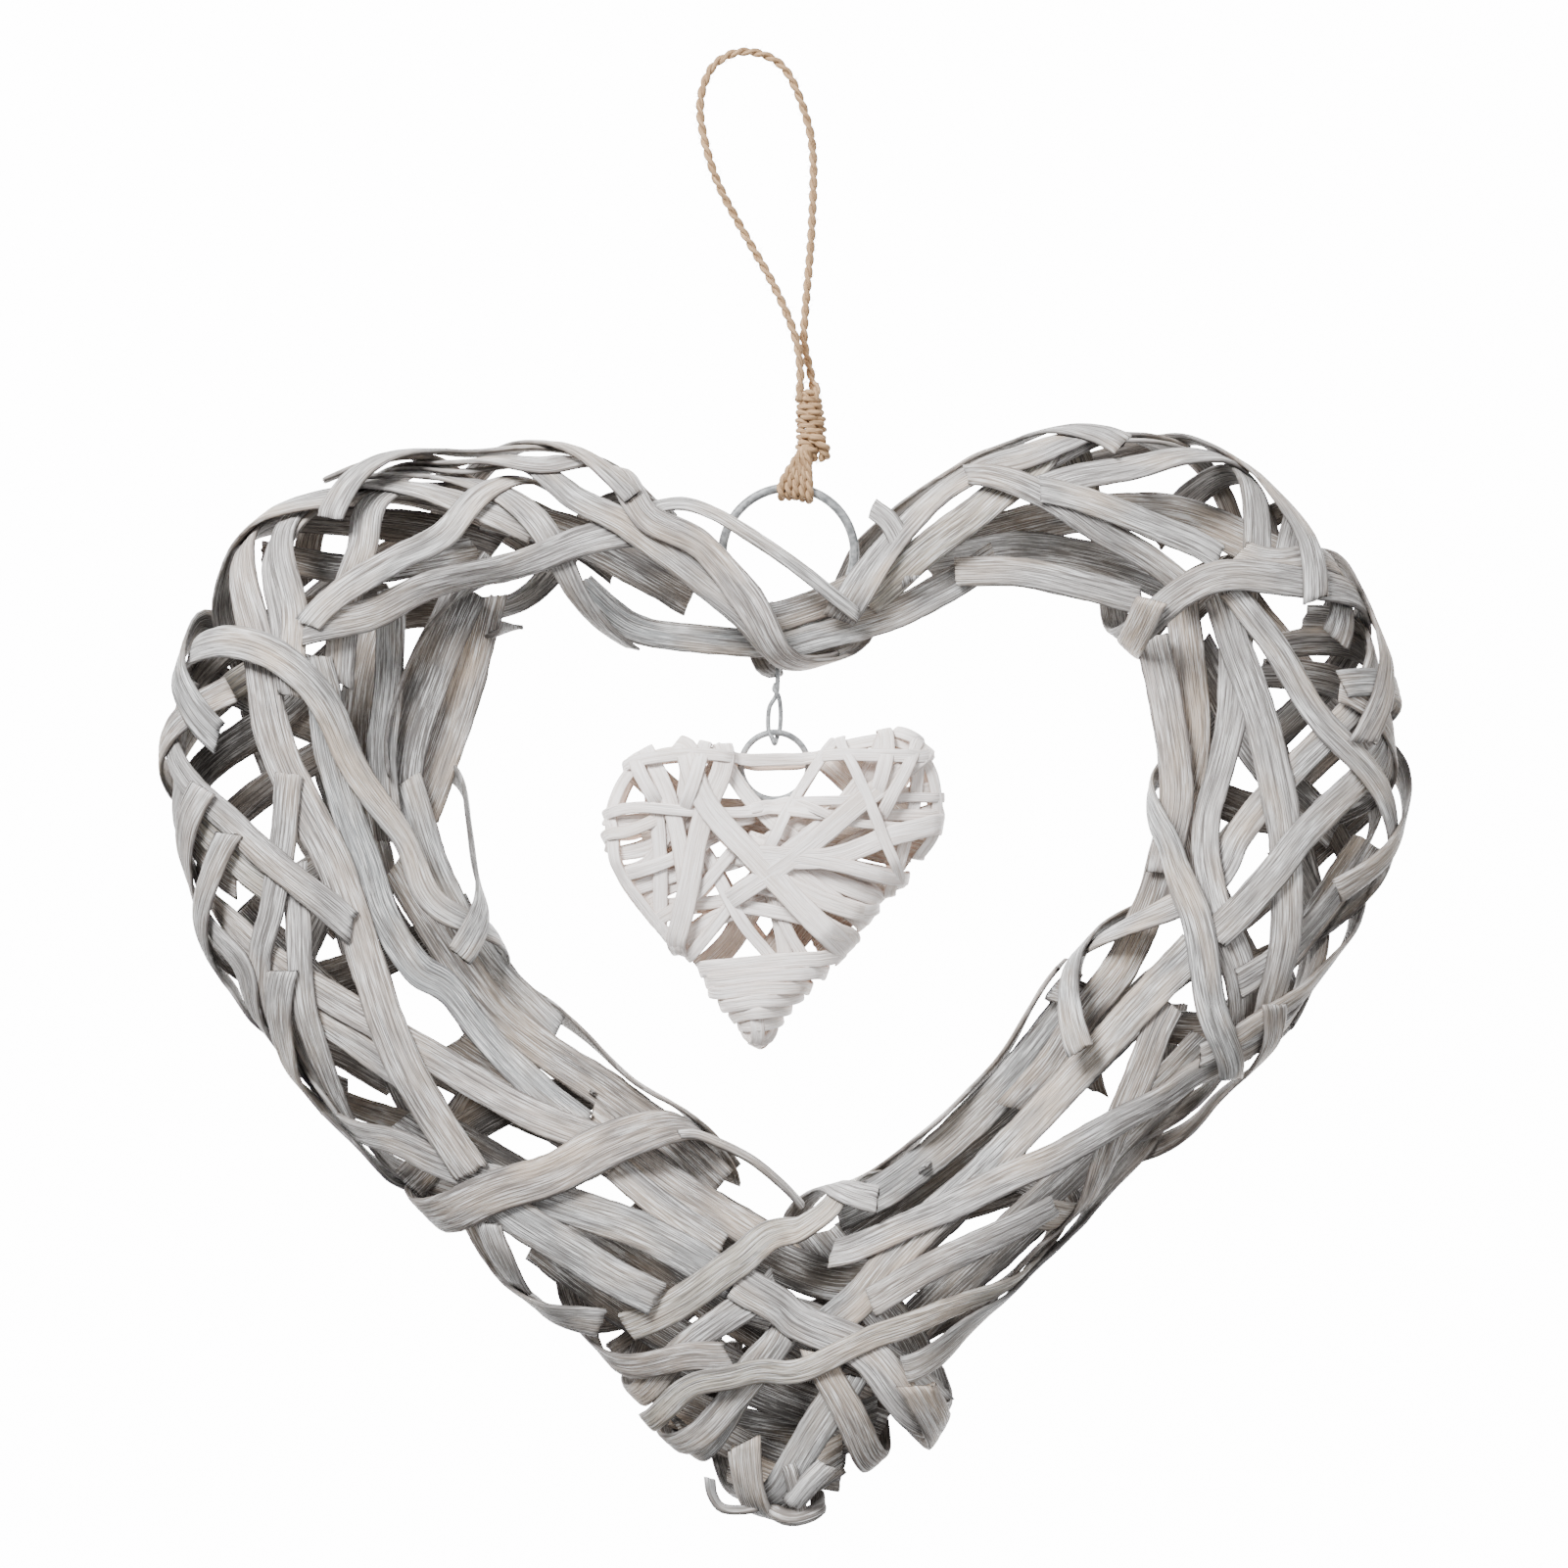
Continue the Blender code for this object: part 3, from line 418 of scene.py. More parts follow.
def grid_faces(rings, sides, loop=False):
    """Quads that join rings of equal sides, and a flat cap on each free end."""
    k = np.arange(rings if loop else rings - 1)[:, None]
    s = np.arange(sides)[None, :]
    here, there = k * sides, ((k + 1) % rings) * sides
    after = (s + 1) % sides
    quads = np.stack([here + s, here + after, there + after, there + s], axis=-1).reshape(-1, 4).tolist()
    if not loop:
        quads.append(list(range(sides - 1, -1, -1)))
        quads.append(list(range((rings - 1) * sides, rings * sides)))
    return quads


def carried_frames(path, loop=False):
    """Directions along, sideways and outward on a path, turned as little as can be."""
    if loop:
        ahead = unit(np.roll(path, -1, 0) - np.roll(path, 1, 0))
    else:
        ahead = unit(np.gradient(path, axis=0))
    first = np.array([0.0, 1.0, 0.0]) if abs(ahead[0][1]) < 0.9 else np.array([1.0, 0.0, 0.0])
    sides = [unit(np.cross(ahead[0], first))]
    for way in ahead[1:]:
        last = sides[-1] - way * (sides[-1] @ way)
        sides.append(last / np.linalg.norm(last))
    side = np.array(sides)
    return ahead, side, np.cross(side, ahead)


def tube_points(path, radius, sides=10, loop=False):
    """Round wire: each ring is its path's point plus radius times cosine and sine."""
    ahead, side, up = carried_frames(path, loop)
    swing = np.linspace(0.0, 2 * math.pi, sides, endpoint=False)
    radius = np.broadcast_to(radius, len(path))[:, None, None]
    rim = side[:, None, :] * np.cos(swing)[None, :, None] + up[:, None, :] * np.sin(swing)[None, :, None]
    return (path[:, None, :] + radius * rim).reshape(-1, 3)


def joined(parts):
    """Several sets of points and faces as one, with each set's faces counted on."""
    points = []
    faces = []
    for spots, quads in parts:
        shift = sum(len(p) for p in points)
        points.append(spots)
        faces.extend([[n + shift for n in face] for face in quads])
    return np.concatenate(points), faces


print("path and wire helpers ready")

# %% Jute finish
JUTE_CELLS = (4.0, 60.0, 1.0)
JUTE_RANGE = (0.3, 0.68)
JUTE_HOLLOW_SHADE = (0.205, 0.107, 0.046)
JUTE_FIBRE = (0.56, 0.372, 0.209)


def jute_material():
    """Tan bast fibres: fine streaks that run with the yarn, and painted shade in their hollows."""
    material, tree, shader = plain_material("jute_twine")
    place = tree.nodes.new("ShaderNodeUVMap")
    place.uv_map = "strip"
    stretch = add_node(tree, "ShaderNodeMapping", Scale=JUTE_CELLS)
    source = add_node(tree, "ShaderNodeTexNoise", Scale=1.0, Detail=4.0)
    tree.links.new(place.outputs["UV"], stretch.inputs["Vector"])
    tree.links.new(stretch.outputs["Vector"], source.inputs["Vector"])
    streaks = remap(tree, source.outputs["Fac"], *JUTE_RANGE)
    # The darker colour is painted shade: it falls where the same noise bumps the yarn low.
    tree.links.new(mix_colour(tree, streaks, JUTE_HOLLOW_SHADE, JUTE_FIBRE), shader.inputs["Base Color"])
    shader.inputs["Roughness"].default_value = 0.9
    raise_relief(tree, source.outputs["Fac"], shader, 0.8, 0.0003)
    return material


JUTE = jute_material()
print("jute ready")

# %% Twisted twine and its loose fibres
# The yarns' sizes are shares of the twine's diameter. A fibre is HAIR_HALF wide each way,
# starts at HAIR_ROOT of the twine's radius, and bends once, HAIR_BEND of its length out.
TWINE_DIAMETER = 0.0018
TWINE_PITCH = 0.0052
YARN_AWAY = 0.235
YARN_RADIUS = 0.29
YARN_SIDES = 9
YARN_MAP_WIDE = 0.4
HAIR_HALF = 0.00005
HAIR_ROOT = 0.8
HAIR_BEND = 0.55
HAIR_END = 0.45


def twine_points(path, diameter=TWINE_DIAMETER, pitch=TWINE_PITCH, start=0.0):
    """Two yarns, half a turn apart, that wind about the path once in each pitch."""
    ahead, side, up = carried_frames(path)
    turn = 2 * math.pi * run_of(path) / pitch + start
    parts = []
    maps = []
    for half in (0.0, math.pi):
        swing = turn + half
        lean = side * np.cos(swing)[:, None] + up * np.sin(swing)[:, None]
        yarn = path + lean * diameter * YARN_AWAY
        parts.append((tube_points(yarn, diameter * YARN_RADIUS, YARN_SIDES),
                      grid_faces(len(path), YARN_SIDES)))
        around = np.tile(np.linspace(0.0, YARN_MAP_WIDE, YARN_SIDES), len(path))
        maps.append(np.stack([np.repeat(run_of(path) * 100, YARN_SIDES), around + half], axis=1))
    points, faces = joined(parts)
    return points, faces, np.concatenate(maps)


def fuzz(path, radius, count, reach, rng):
    """Loose fibres: thin three-sided hairs that leave the surface and curl back."""
    at = rng.integers(2, len(path) - 2, count)
    ahead, side, up = carried_frames(path)
    swing = rng.uniform(0, 2 * math.pi, count)
    out = side[at] * np.cos(swing)[:, None] + up[at] * np.sin(swing)[:, None]
    lean = unit(out + ahead[at] * rng.uniform(-1.6, 1.6, count)[:, None])
    length = rng.uniform(0.35, 1.0, count)[:, None] * reach
    root = path[at] + out * radius * HAIR_ROOT
    bend = root + lean * length * HAIR_BEND
    tip = bend + unit(lean + rng.normal(0, 0.6, (count, 3))) * length * HAIR_END
    wide = unit(np.cross(lean, out + 0.01)) * HAIR_HALF
    flat = unit(np.cross(wide, lean)) * HAIR_HALF
    spots = np.stack([root - wide, root + wide, root + flat, bend - wide, bend + wide, bend + flat, tip],
                     axis=1)
    base = (np.arange(count) * 7)[:, None]
    quads = np.concatenate([base + np.array(q) for q in ((0, 1, 4, 3), (1, 2, 5, 4), (2, 0, 3, 5))])
    tips = np.concatenate([base + np.array(t) for t in ((3, 4, 6), (4, 5, 6), (5, 3, 6), (2, 1, 0))])
    return spots.reshape(-1, 3), quads.tolist() + tips.tolist()


print("twine helpers ready")

# %% The hanging loop
TWINE_SEED = 5
TWINE_STEP = 0.0005
LOOP_HAIRS = 420
LOOP_HAIR_REACH = 0.0019
TWINE_ROUTE = (
    (10.2, -1.4, -70.5), (10.4, -1.6, -64.0), (9.2, -1.8, -57.0), (5.0, -1.2, -47.0), (-1.2, -0.4, -36.0),
    (-6.4, 0.0, -26.0), (-9.2, 0.0, -17.0), (-10.0, 0.0, -9.5), (-8.0, 0.0, -3.0), (-3.8, 0.0, 0.3),
    (1.6, 0.0, 0.6), (7.0, 0.0, -2.4), (10.8, 0.0, -10.0), (13.0, 0.0, -20.0), (12.7, 0.4, -36.0),
    (11.6, 1.2, -50.0), (11.2, 1.8, -58.0), (12.4, 1.6, -64.0), (13.6, 1.4, -70.5),
)
loop_path = even_line(smooth_line(np.array(TWINE_ROUTE) * MM, 24), TWINE_STEP)
rng = np.random.default_rng(TWINE_SEED)
yarns, yarn_faces, yarn_maps = twine_points(loop_path)
hairs, hair_faces = fuzz(loop_path, TWINE_DIAMETER / 2, LOOP_HAIRS, LOOP_HAIR_REACH, rng)
points, faces = joined([(yarns, yarn_faces), (hairs, hair_faces)])
twine_loop = put_mesh("hanging_twine", points, faces, JUTE,
                      maps=np.concatenate([yarn_maps, np.zeros((len(hairs), 2))]))
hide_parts("twine_loop")

# %% [markdown]
# Under the loop both ends are bound together. The short knot is one more twine wound
# round them. One end of it sticks out low on the right and a short one at the top, and
# five strands spread below it and go round the top of the big ring.

# %% Knot and strands
RING_CENTRE = (0.008, -0.1016)
RING_RADIUS = 0.01345
KNOT_LINE = ((12.0, 0.0, -68.5), (12.4, 0.0, -73.0), (12.6, 0.0, -78.0), (11.4, 0.0, -83.0))
KNOT_TAIL = ((12.0, -2.0, -76.5), (14.6, -2.4, -79.0), (15.6, -1.0, -81.0), (15.0, 0.4, -82.2))
KNOT_STUB = ((13.2, -1.2, -71.0), (13.9, -1.6, -69.0), (13.6, -0.6, -66.8))
KNOT_STEP = 0.0004
KNOT_SAMPLES = 240
KNOT_WAIST = 0.0011
KNOT_BELLY = 0.0012
KNOT_FLAT = 0.9
KNOT_WINDINGS = 4
KNOT_TURNS = 1.9
KNOT_TIGHT = 0.8
KNOT_HAIRS = 260
KNOT_HAIR_REACH = 0.0022
KNOT_HAIR_ROOT = 0.0024
HOOK_PLACES = (6.6, 8.1, 9.5, 10.9, 12.3)
HOOK_START = 11.7
HOOK_LEVEL = -0.0795
HOOK_OUT = 0.0019
HOOK_RISE = 0.0008
HOOK_FALL = 0.0013
HOOK_UNDER = 0.0019
spine = even_line(smooth_line(np.array(KNOT_LINE) * MM, 16), KNOT_STEP)
share = np.linspace(0.0, 1.0, KNOT_SAMPLES)
spine_share = np.linspace(0, 1, len(spine))
rise = np.stack([np.interp(share, spine_share, spine[:, k]) for k in range(3)], axis=1)
belly = KNOT_WAIST + KNOT_BELLY * np.sin(math.pi * share) ** 0.7
knot_parts = []
knot_maps = []


def add_strand(path, diameter, start=0.0):
    """One more twisted strand in the knot."""
    spots, quads, places = twine_points(path, diameter, TWINE_PITCH * KNOT_TIGHT, start)
    knot_parts.append((spots, quads))
    knot_maps.append(places)


for number in range(KNOT_WINDINGS):
    wraps = 2 * math.pi * (KNOT_TURNS * share + number / KNOT_WINDINGS)
    round_it = [belly * np.cos(wraps), belly * KNOT_FLAT * np.sin(wraps), 0.0 * wraps]
    add_strand(rise + np.stack(round_it, axis=1), 0.0019, number * 1.3)
add_strand(smooth_line(np.array(KNOT_TAIL) * MM, 14), 0.0024, 1.0)
add_strand(smooth_line(np.array(KNOT_STUB) * MM, 10), 0.0014, 2.0)
for number, reach in enumerate(HOOK_PLACES):
    aside = reach * MM - RING_CENTRE[0]
    top = RING_CENTRE[1] + math.sqrt(RING_RADIUS ** 2 - aside ** 2)
    start, halfway, end = HOOK_START * MM, (HOOK_START + reach) / 2 * MM, reach * MM
    high, low = top + HOOK_RISE, top - HOOK_FALL
    mean = (top + HOOK_LEVEL) / 2 + HOOK_RISE
    way = np.array([
        [start, -0.0016, HOOK_LEVEL], [halfway, -0.0021, mean], [end, -HOOK_OUT, high],
        [end, -HOOK_OUT * 0.8, low], [end, 0.0, top - HOOK_UNDER], [end, HOOK_OUT * 0.8, low],
        [end, HOOK_OUT, high], [halfway, 0.0019, mean], [start, 0.0014, HOOK_LEVEL]])
    add_strand(even_line(smooth_line(way, 12), KNOT_STEP), 0.0017, number * 1.7)
knot_hairs = fuzz(spine, KNOT_HAIR_ROOT, KNOT_HAIRS, KNOT_HAIR_REACH, rng)
knot_parts.append(knot_hairs)
knot_maps.append(np.zeros((len(knot_hairs[0]), 2)))
points, faces = joined(knot_parts)
twine_knot = put_mesh("binding_knot", points, faces, JUTE, maps=np.concatenate(knot_maps))
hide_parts("twine_knot")
print("knot has", len(knot_parts) - 1, "strands")

# %% [markdown]
# The winding surface of the big heart is a ruled tube. An outer and an inner outline are
# joined by chords, and each chord is bulged to the front and to the back. A map on that
# tube keeps how high the strips already lie at each place.

# %% Winding tube
FRONT = 1
BACK = -1
INSIDE = 0
STRIP_THICK = 1.0
LAY_GAP = -0.2
LAY_SLOPE = 0.22
TUBE_SLIM = 3.2
TUBE_DEPTH_SLIM = 1.0
LOOP_TO_TIP = 298.6
CENTRE_X = 8.0
CELLS_ROUND = 120
PAST_EDGE = 1.25
PAST_EDGE_COST = 30.0
FAR_COST = 0.02
LARGEST_SINE = 0.999
# Each station: the outer outline's point, the inner outline's point and the half depth.
STATIONS = (
    (3.5, 188.0, 1.5, 177.5, 4.0),
    (15.0, 198.0, 15.0, 181.0, 6.5),
    (35.0, 216.0, 37.0, 191.0, 9.5),
    (66.0, 223.0, 60.0, 189.0, 12.0),
    (93.0, 216.0, 76.0, 181.0, 13.0),
    (116.0, 190.0, 82.0, 164.0, 13.5),
    (124.0, 156.0, 80.0, 144.0, 13.5),
    (115.0, 125.0, 73.0, 124.0, 13.5),
    (95.0, 96.0, 54.0, 100.0, 13.5),
    (65.0, 66.0, 32.0, 77.0, 13.0),
    (37.0, 38.0, 14.0, 66.0, 13.0),
    (22.0, 14.0, 6.0, 63.5, 12.0),
    (0.0, 1.0, 1.0, 62.5, 9.5),
    (-21.0, 14.0, -3.0, 64.0, 12.0),
    (-40.0, 33.0, -16.0, 73.0, 13.0),
    (-66.0, 53.0, -37.0, 88.0, 13.0),
    (-93.0, 81.0, -57.0, 104.0, 13.5),
    (-115.0, 113.0, -69.0, 124.0, 13.5),
    (-126.0, 145.0, -77.0, 145.0, 13.5),
    (-124.0, 172.0, -79.0, 161.0, 13.5),
    (-112.0, 199.0, -70.0, 182.0, 13.0),
    (-89.0, 210.5, -57.0, 190.0, 12.0),
    (-58.0, 212.5, -40.0, 188.0, 11.0),
    (-32.0, 207.5, -23.0, 181.0, 8.0),
    (-11.0, 197.0, -11.0, 178.0, 5.5),
)


class WindingTube:
    """The surface that the strips are wound on, with a map of how high they lie."""

    def __init__(self):
        """Even the stations out to a smooth tube, with an empty map of heights."""
        rows = smooth_line(np.array(STATIONS), 24, closed=True)
        outer = rows[:, 0:2]
        inner = rows[:, 2:4]
        across = (outer - inner) / 2
        half = np.linalg.norm(across, axis=1, keepdims=True)
        self.centre = (outer + inner) / 2
        self.across = across * (half - TUBE_SLIM) / half
        self.depth = rows[:, 4] - TUBE_DEPTH_SLIM
        steps = np.linalg.norm(np.roll(self.centre, -1, 0) - self.centre, axis=1)
        self.length = steps.sum()
        self.along = np.concatenate([[0.0], np.cumsum(steps)[:-1]])
        self.cells_along = int(round(self.length))
        self.height = np.zeros((self.cells_along, CELLS_ROUND))

    def read(self, along, values):
        """A station's values at places along the tube, which closes on itself."""
        knots = np.append(self.along, self.length)
        place = np.mod(along, self.length)
        if values.ndim == 1:
            return np.interp(place, knots, np.append(values, values[0]))
        return np.stack([self.read(along, values[:, k]) for k in range(values.shape[1])], axis=-1)

    def point(self, along, turn):
        """Centre plus the chord's half times sine, with depth times cosine forwards."""
        flat = self.read(along, self.centre) + self.read(along, self.across) * np.sin(turn)[..., None]
        deep = -self.read(along, self.depth) * np.cos(turn)
        return np.stack([flat[..., 0], deep, flat[..., 1]], axis=-1)

    def frame(self, along, turn):
        """Surface directions along and round the tube, and the outward normal."""
        step = 0.5
        swing = 0.01
        down = (self.point(along + step, turn) - self.point(along - step, turn)) / (2 * step)
        ring_way = (self.point(along, turn + swing) - self.point(along, turn - swing)) / (2 * swing)
        return down, ring_way, unit(np.cross(down, ring_way))

    def locate(self, place, near):
        """Where a place seen from the front lies on the tube."""
        offset = np.asarray(place, float) - self.centre
        half = np.linalg.norm(self.across, axis=1)
        lane = self.across / half[:, None]
        share = (offset * lane).sum(axis=1) / half
        miss = np.abs(offset[:, 0] * lane[:, 1] - offset[:, 1] * lane[:, 0])
        miss = miss + PAST_EDGE_COST * np.maximum(np.abs(share) - PAST_EDGE, 0.0)
        if near is not None:
            gap = np.abs(np.mod(self.along - near + self.length / 2, self.length) - self.length / 2)
            miss = miss + FAR_COST * gap
        best = int(np.argmin(miss))
        return self.along[best], math.asin(max(-LARGEST_SINE, min(LARGEST_SINE, share[best])))

    def cells(self, along, turn):
        """Map cells under places on the tube."""
        i = np.mod(np.round(along * self.cells_along / self.length).astype(int), self.cells_along)
        j = np.mod(np.round(turn * CELLS_ROUND / (2 * math.pi)).astype(int), CELLS_ROUND)
        return i, j

    def under(self, along, turn, spot):
        """Places on the tube below points near it, and how far those stand off it."""
        for _ in range(2):
            down, ring_way, normal = self.frame(along, turn)
            off = spot - self.point(along, turn)
            dd, rr = (down * down).sum(-1), (ring_way * ring_way).sum(-1)
            dr = (down * ring_way).sum(-1)
            od, oround = (off * down).sum(-1), (off * ring_way).sum(-1)
            det = np.maximum(dd * rr - dr * dr, 1e-6)
            along = along + (od * rr - oround * dr) / det
            turn = turn + (oround * dd - od * dr) / det
        return along, turn, ((spot - self.point(along, turn)) * normal).sum(-1)


tube = WindingTube()
print("tube is", round(tube.length), "mm long")

# %% [markdown]
# A strip is described by the places it passes in the photograph, on the front or on the
# back. Where it goes on round an edge, more places are added that follow the tube.

# %% A strip's way round the tube
ROUTE_STEPS = 24
MOST_LEAN = 22.0
LEAST_TURN = 0.25
EDGE_STEP = math.radians(45)


def strip_route(face, turn_on, turn_off, places):
    """The strip's way along and round the tube, and how many edge places lead it."""
    route = []
    near = None
    first = 0
    for place in places:
        along, turn = tube.locate(place, near)
        if near is not None:
            along += tube.length * round((near - along) / tube.length)
        near = along
        route.append((along, turn if face == FRONT else math.pi - turn))
    for end, extra in ((0, turn_on), (-1, turn_off)):
        if extra == 0:
            continue
        last = np.array(route[end])
        inside = np.array(route[1] if end == 0 else route[-2])
        outward = last[1] if face == FRONT else math.pi - last[1]
        way = math.copysign(1.0, outward) * face
        lean = (last[0] - inside[0]) / max(abs(last[1] - inside[1]), LEAST_TURN)
        lean = max(-MOST_LEAN, min(MOST_LEAN, lean))
        edge = math.pi / 2 * math.copysign(1.0, outward)
        edge = edge if face == FRONT else math.pi - edge
        reach = abs(edge - last[1]) + math.radians(extra)
        count = max(1, int(round(reach / EDGE_STEP)))
        steps = [(last[0] + lean * reach * k / count, last[1] + way * reach * k / count)
                 for k in range(1, count + 1)]
        first = count if end == 0 else first
        route = steps[::-1] + route if end == 0 else route + steps
    return smooth_line(route, ROUTE_STEPS), first


print("strips can go round the tube")

# %% [markdown]
# Each strip is laid after the last one. It must clear everything that it crosses, but it
# is stiff, so its height may only fall off slowly: it bridges from one crossing to the
# next as the real strips do, and leaves the dark hollows between them.

# %% Lay a strip over the ones before it
STEP = 1.25
SOFT = 5.0
EASE_REACH = 4
LAY_LANES = np.linspace(-0.45, 0.45, 5)
INSIDE_LANES = np.linspace(-0.5, 0.5, 7)
LOCATE_EVERY = 8
SWAY_WAVE = 45.0
SWAY_ASIDE = 0.12
SWAY_UP = 0.1


def eased(run, need, slope):
    """The lowest line above need that never falls faster than slope, rounded on top."""
    apart = np.abs(run[:, None] - run[None, :])
    fall = slope * (np.sqrt(apart ** 2 + SOFT ** 2) - SOFT)
    lift = (need[None, :] - fall).max(axis=1)
    return np.maximum(lift, blur(lift, EASE_REACH))


def lay_strip(width, route, settle=True):
    """Centre line, sideways and outward directions of a strip, and its steps on the route."""
    fine = tube.point(route[:, 0], route[:, 1])
    run = run_of(fine)
    at = np.linspace(0.0, run[-1], int(run[-1] / STEP) + 2)
    along = np.interp(at, run, route[:, 0])
    turn = np.interp(at, run, route[:, 1])
    centre = blur(tube.point(along, turn), 1)
    normal = tube.frame(along, turn)[2]
    heading = unit(np.gradient(centre, axis=0))
    normal = unit(normal - heading * (normal * heading).sum(-1, keepdims=True))
    side = np.cross(normal, heading)
    lanes = LAY_LANES * width
    spot = centre[:, None, :] + side[:, None, :] * lanes[None, :, None]
    a, b, rise = tube.under(along[:, None] + 0 * lanes, turn[:, None] + 0 * lanes, spot)
    i, j = tube.cells(a, b)
    lift = eased(at, (tube.height[i, j] + LAY_GAP - rise).max(axis=1), LAY_SLOPE)
    if settle:
        top = rise + lift[:, None] + STRIP_THICK
        for shift_i in (0, 1):
            for shift_j in (0, 1):
                cell = (np.mod(i + shift_i, tube.cells_along), np.mod(j + shift_j, CELLS_ROUND))
                np.maximum.at(tube.height, cell, top)
    steps = np.interp(at, run, np.arange(len(run)))
    return centre + normal * (lift[:, None] + STRIP_THICK / 2), side, normal, steps


def place_inside(width, level, places):
    """A strip that lies flat in the tube at a depth of level: the front view gives its line."""
    line = even_line(smooth_line(np.array(places, float), 12), STEP)
    centre = np.insert(line, 1, level, axis=1)
    sway = np.sin(np.linspace(0.0, math.pi * len(line) * STEP / SWAY_WAVE, len(line)) + line[0, 0])
    normal = unit(np.stack([SWAY_ASIDE * sway, np.full(len(line), -1.0), SWAY_UP * sway], axis=1))
    side = unit(np.cross(normal, unit(np.gradient(centre, axis=0))))
    starts = [tube.locate(place, None) for place in line[::LOCATE_EVERY]]
    steps = np.arange(len(line)) / LOCATE_EVERY
    marks = np.arange(len(starts))
    along = np.interp(steps, marks, np.unwrap([s[0] for s in starts], period=tube.length))
    turn = np.interp(steps, marks, [s[1] for s in starts])
    lanes = INSIDE_LANES * width
    spot = centre[:, None, :] + side[:, None, :] * lanes[None, :, None]
    a, b, rise = tube.under(along[:, None] + 0 * lanes, turn[:, None] + 0 * lanes, spot)
    i, j = tube.cells(a, b)
    for shift_j in (-1, 0, 1):
        np.maximum.at(tube.height, (i, np.mod(j + shift_j, CELLS_ROUND)), rise + STRIP_THICK / 2)
    return centre, side, normal


print("strips can be laid and placed inside")

# %% Aim a strip at where it is seen
SEEN_FROM = VIEW_FAR * 1000
SEEN_MIDDLE = np.array([-0.9, 149.9])
LARGEST_SHIFT = 2.0
AIM_ROUNDS = 3


def settled_route(width, face, turn_on, turn_off, places):
    """The route whose strip, once lifted, is seen where the places say."""
    wanted = np.array(places, float)
    aimed = wanted.copy()
    for _ in range(AIM_ROUNDS):
        route, first = strip_route(face, turn_on, turn_off, aimed)
        if face == BACK:
            return route
        middle, _, _, steps = lay_strip(width, route, settle=False)
        marks = (first + np.arange(len(wanted))) * ROUTE_STEPS
        spots = np.stack([np.interp(marks, steps, middle[:, k]) for k in range(3)], axis=1)
        target = SEEN_MIDDLE + (wanted - SEEN_MIDDLE) * (1.0 + spots[:, 1:2] / SEEN_FROM)
        aimed = aimed + np.clip(target - spots[:, [0, 2]], -LARGEST_SHIFT, LARGEST_SHIFT)
    return strip_route(face, turn_on, turn_off, aimed)[0]


print("strips can be aimed")

# %% [markdown]
# A split strip isn't a plain band. Its outer face is slightly round, its edges are worn
# and uneven, fine ridges run along it, and its ends are cut on a slant. The profile has
# more points on the outer face, where light picks those ridges out.

# %% The ribbon surface
TOP_LANES = 13
LOW_LANES = np.array([0.96, 0.45, 0.0, -0.45, -0.96])
CROWN = 0.16
# Each wave: its height, as a share, and its length in millimetres.
WIDTH_WAVES = ((0.05, 60.0),)
EDGE_WAVES = ((0.05, 26.0), (0.02, 5.0))
THICK_WAVES = ((0.1, 33.0),)
RIDGE_WAVES = ((0.05, 45.0), (0.03, 9.0))
RIDGE_SCATTER = 0.022
TOP_HIGH = 0.5
TOP_EDGE_DROP = 0.34
LOW_EDGE_RISE = 0.14
CUT_SLANT = 0.55
CUT_ROUGH = 0.16
END_THIN = 0.72
MAP_SHIFT = (3.7, 1.3)


def waved(start, run, waves, rng):
    """A value along a line, plus one gentle random wave for each height and length."""
    for height, wave in waves:
        start = start + height * wobble(run, wave, rng)
    return start


def ribbon(centre, side, normal, width, thick, seed, crown):
    """Path plus side times across, plus normal times the profile's height there."""
    rng = np.random.default_rng(seed)
    run = run_of(centre)
    ahead = unit(np.gradient(centre, axis=0))
    top = np.linspace(-1.0, 1.0, TOP_LANES)
    lanes = np.concatenate([top, LOW_LANES])
    half = width / 2 * waved(1, run, WIDTH_WAVES, rng)
    left = waved(1, run, EDGE_WAVES, rng)
    right = waved(1, run, EDGE_WAVES, rng)
    across = half[:, None] * lanes * np.where(lanes < 0, left[:, None], right[:, None])
    body = thick * waved(1, run, THICK_WAVES, rng)[:, None]
    arch = TOP_HIGH - TOP_EDGE_DROP * np.abs(top) ** 7 + crown * (1 - top ** 2)
    ridges = np.stack([waved(0, run, RIDGE_WAVES, rng) + rng.normal(0, RIDGE_SCATTER) for _ in top], axis=1)
    high = body * (arch + ridges * (1 - np.abs(top) ** 4))
    low = -body * (TOP_HIGH - LOW_EDGE_RISE * np.abs(LOW_LANES) ** 2)
    heights = np.concatenate([high, low], axis=1)
    slant = np.zeros((len(centre), len(lanes)))
    for end in (0, -1):
        cut = rng.uniform(-CUT_SLANT, CUT_SLANT) * half[end] * lanes
        slant[end] = cut + rng.normal(0, CUT_ROUGH, len(lanes)) * width / 6
        heights[end] *= END_THIN
    points = (centre[:, None, :] + side[:, None, :] * across[..., None]
              + normal[:, None, :] * heights[..., None] + ahead[:, None, :] * slant[..., None])
    maps = np.stack([(run[:, None] + slant) / 10 + seed * MAP_SHIFT[0], across / 10 + seed * MAP_SHIFT[1]],
                    axis=-1)
    edge = np.broadcast_to(np.abs(lanes), across.shape)
    under = np.broadcast_to(np.concatenate([0 * top, 0 * LOW_LANES + 1.0]), across.shape)
    faces = grid_faces(len(centre), len(lanes))
    return points.reshape(-1, 3), faces, maps.reshape(-1, 2), edge.ravel(), under.ravel()


def to_world(points):
    """From the wreath's own millimetres to metres from the top of the loop."""
    return (np.asarray(points) + np.array([CENTRE_X, 0.0, -LOOP_TO_TIP])) * MM


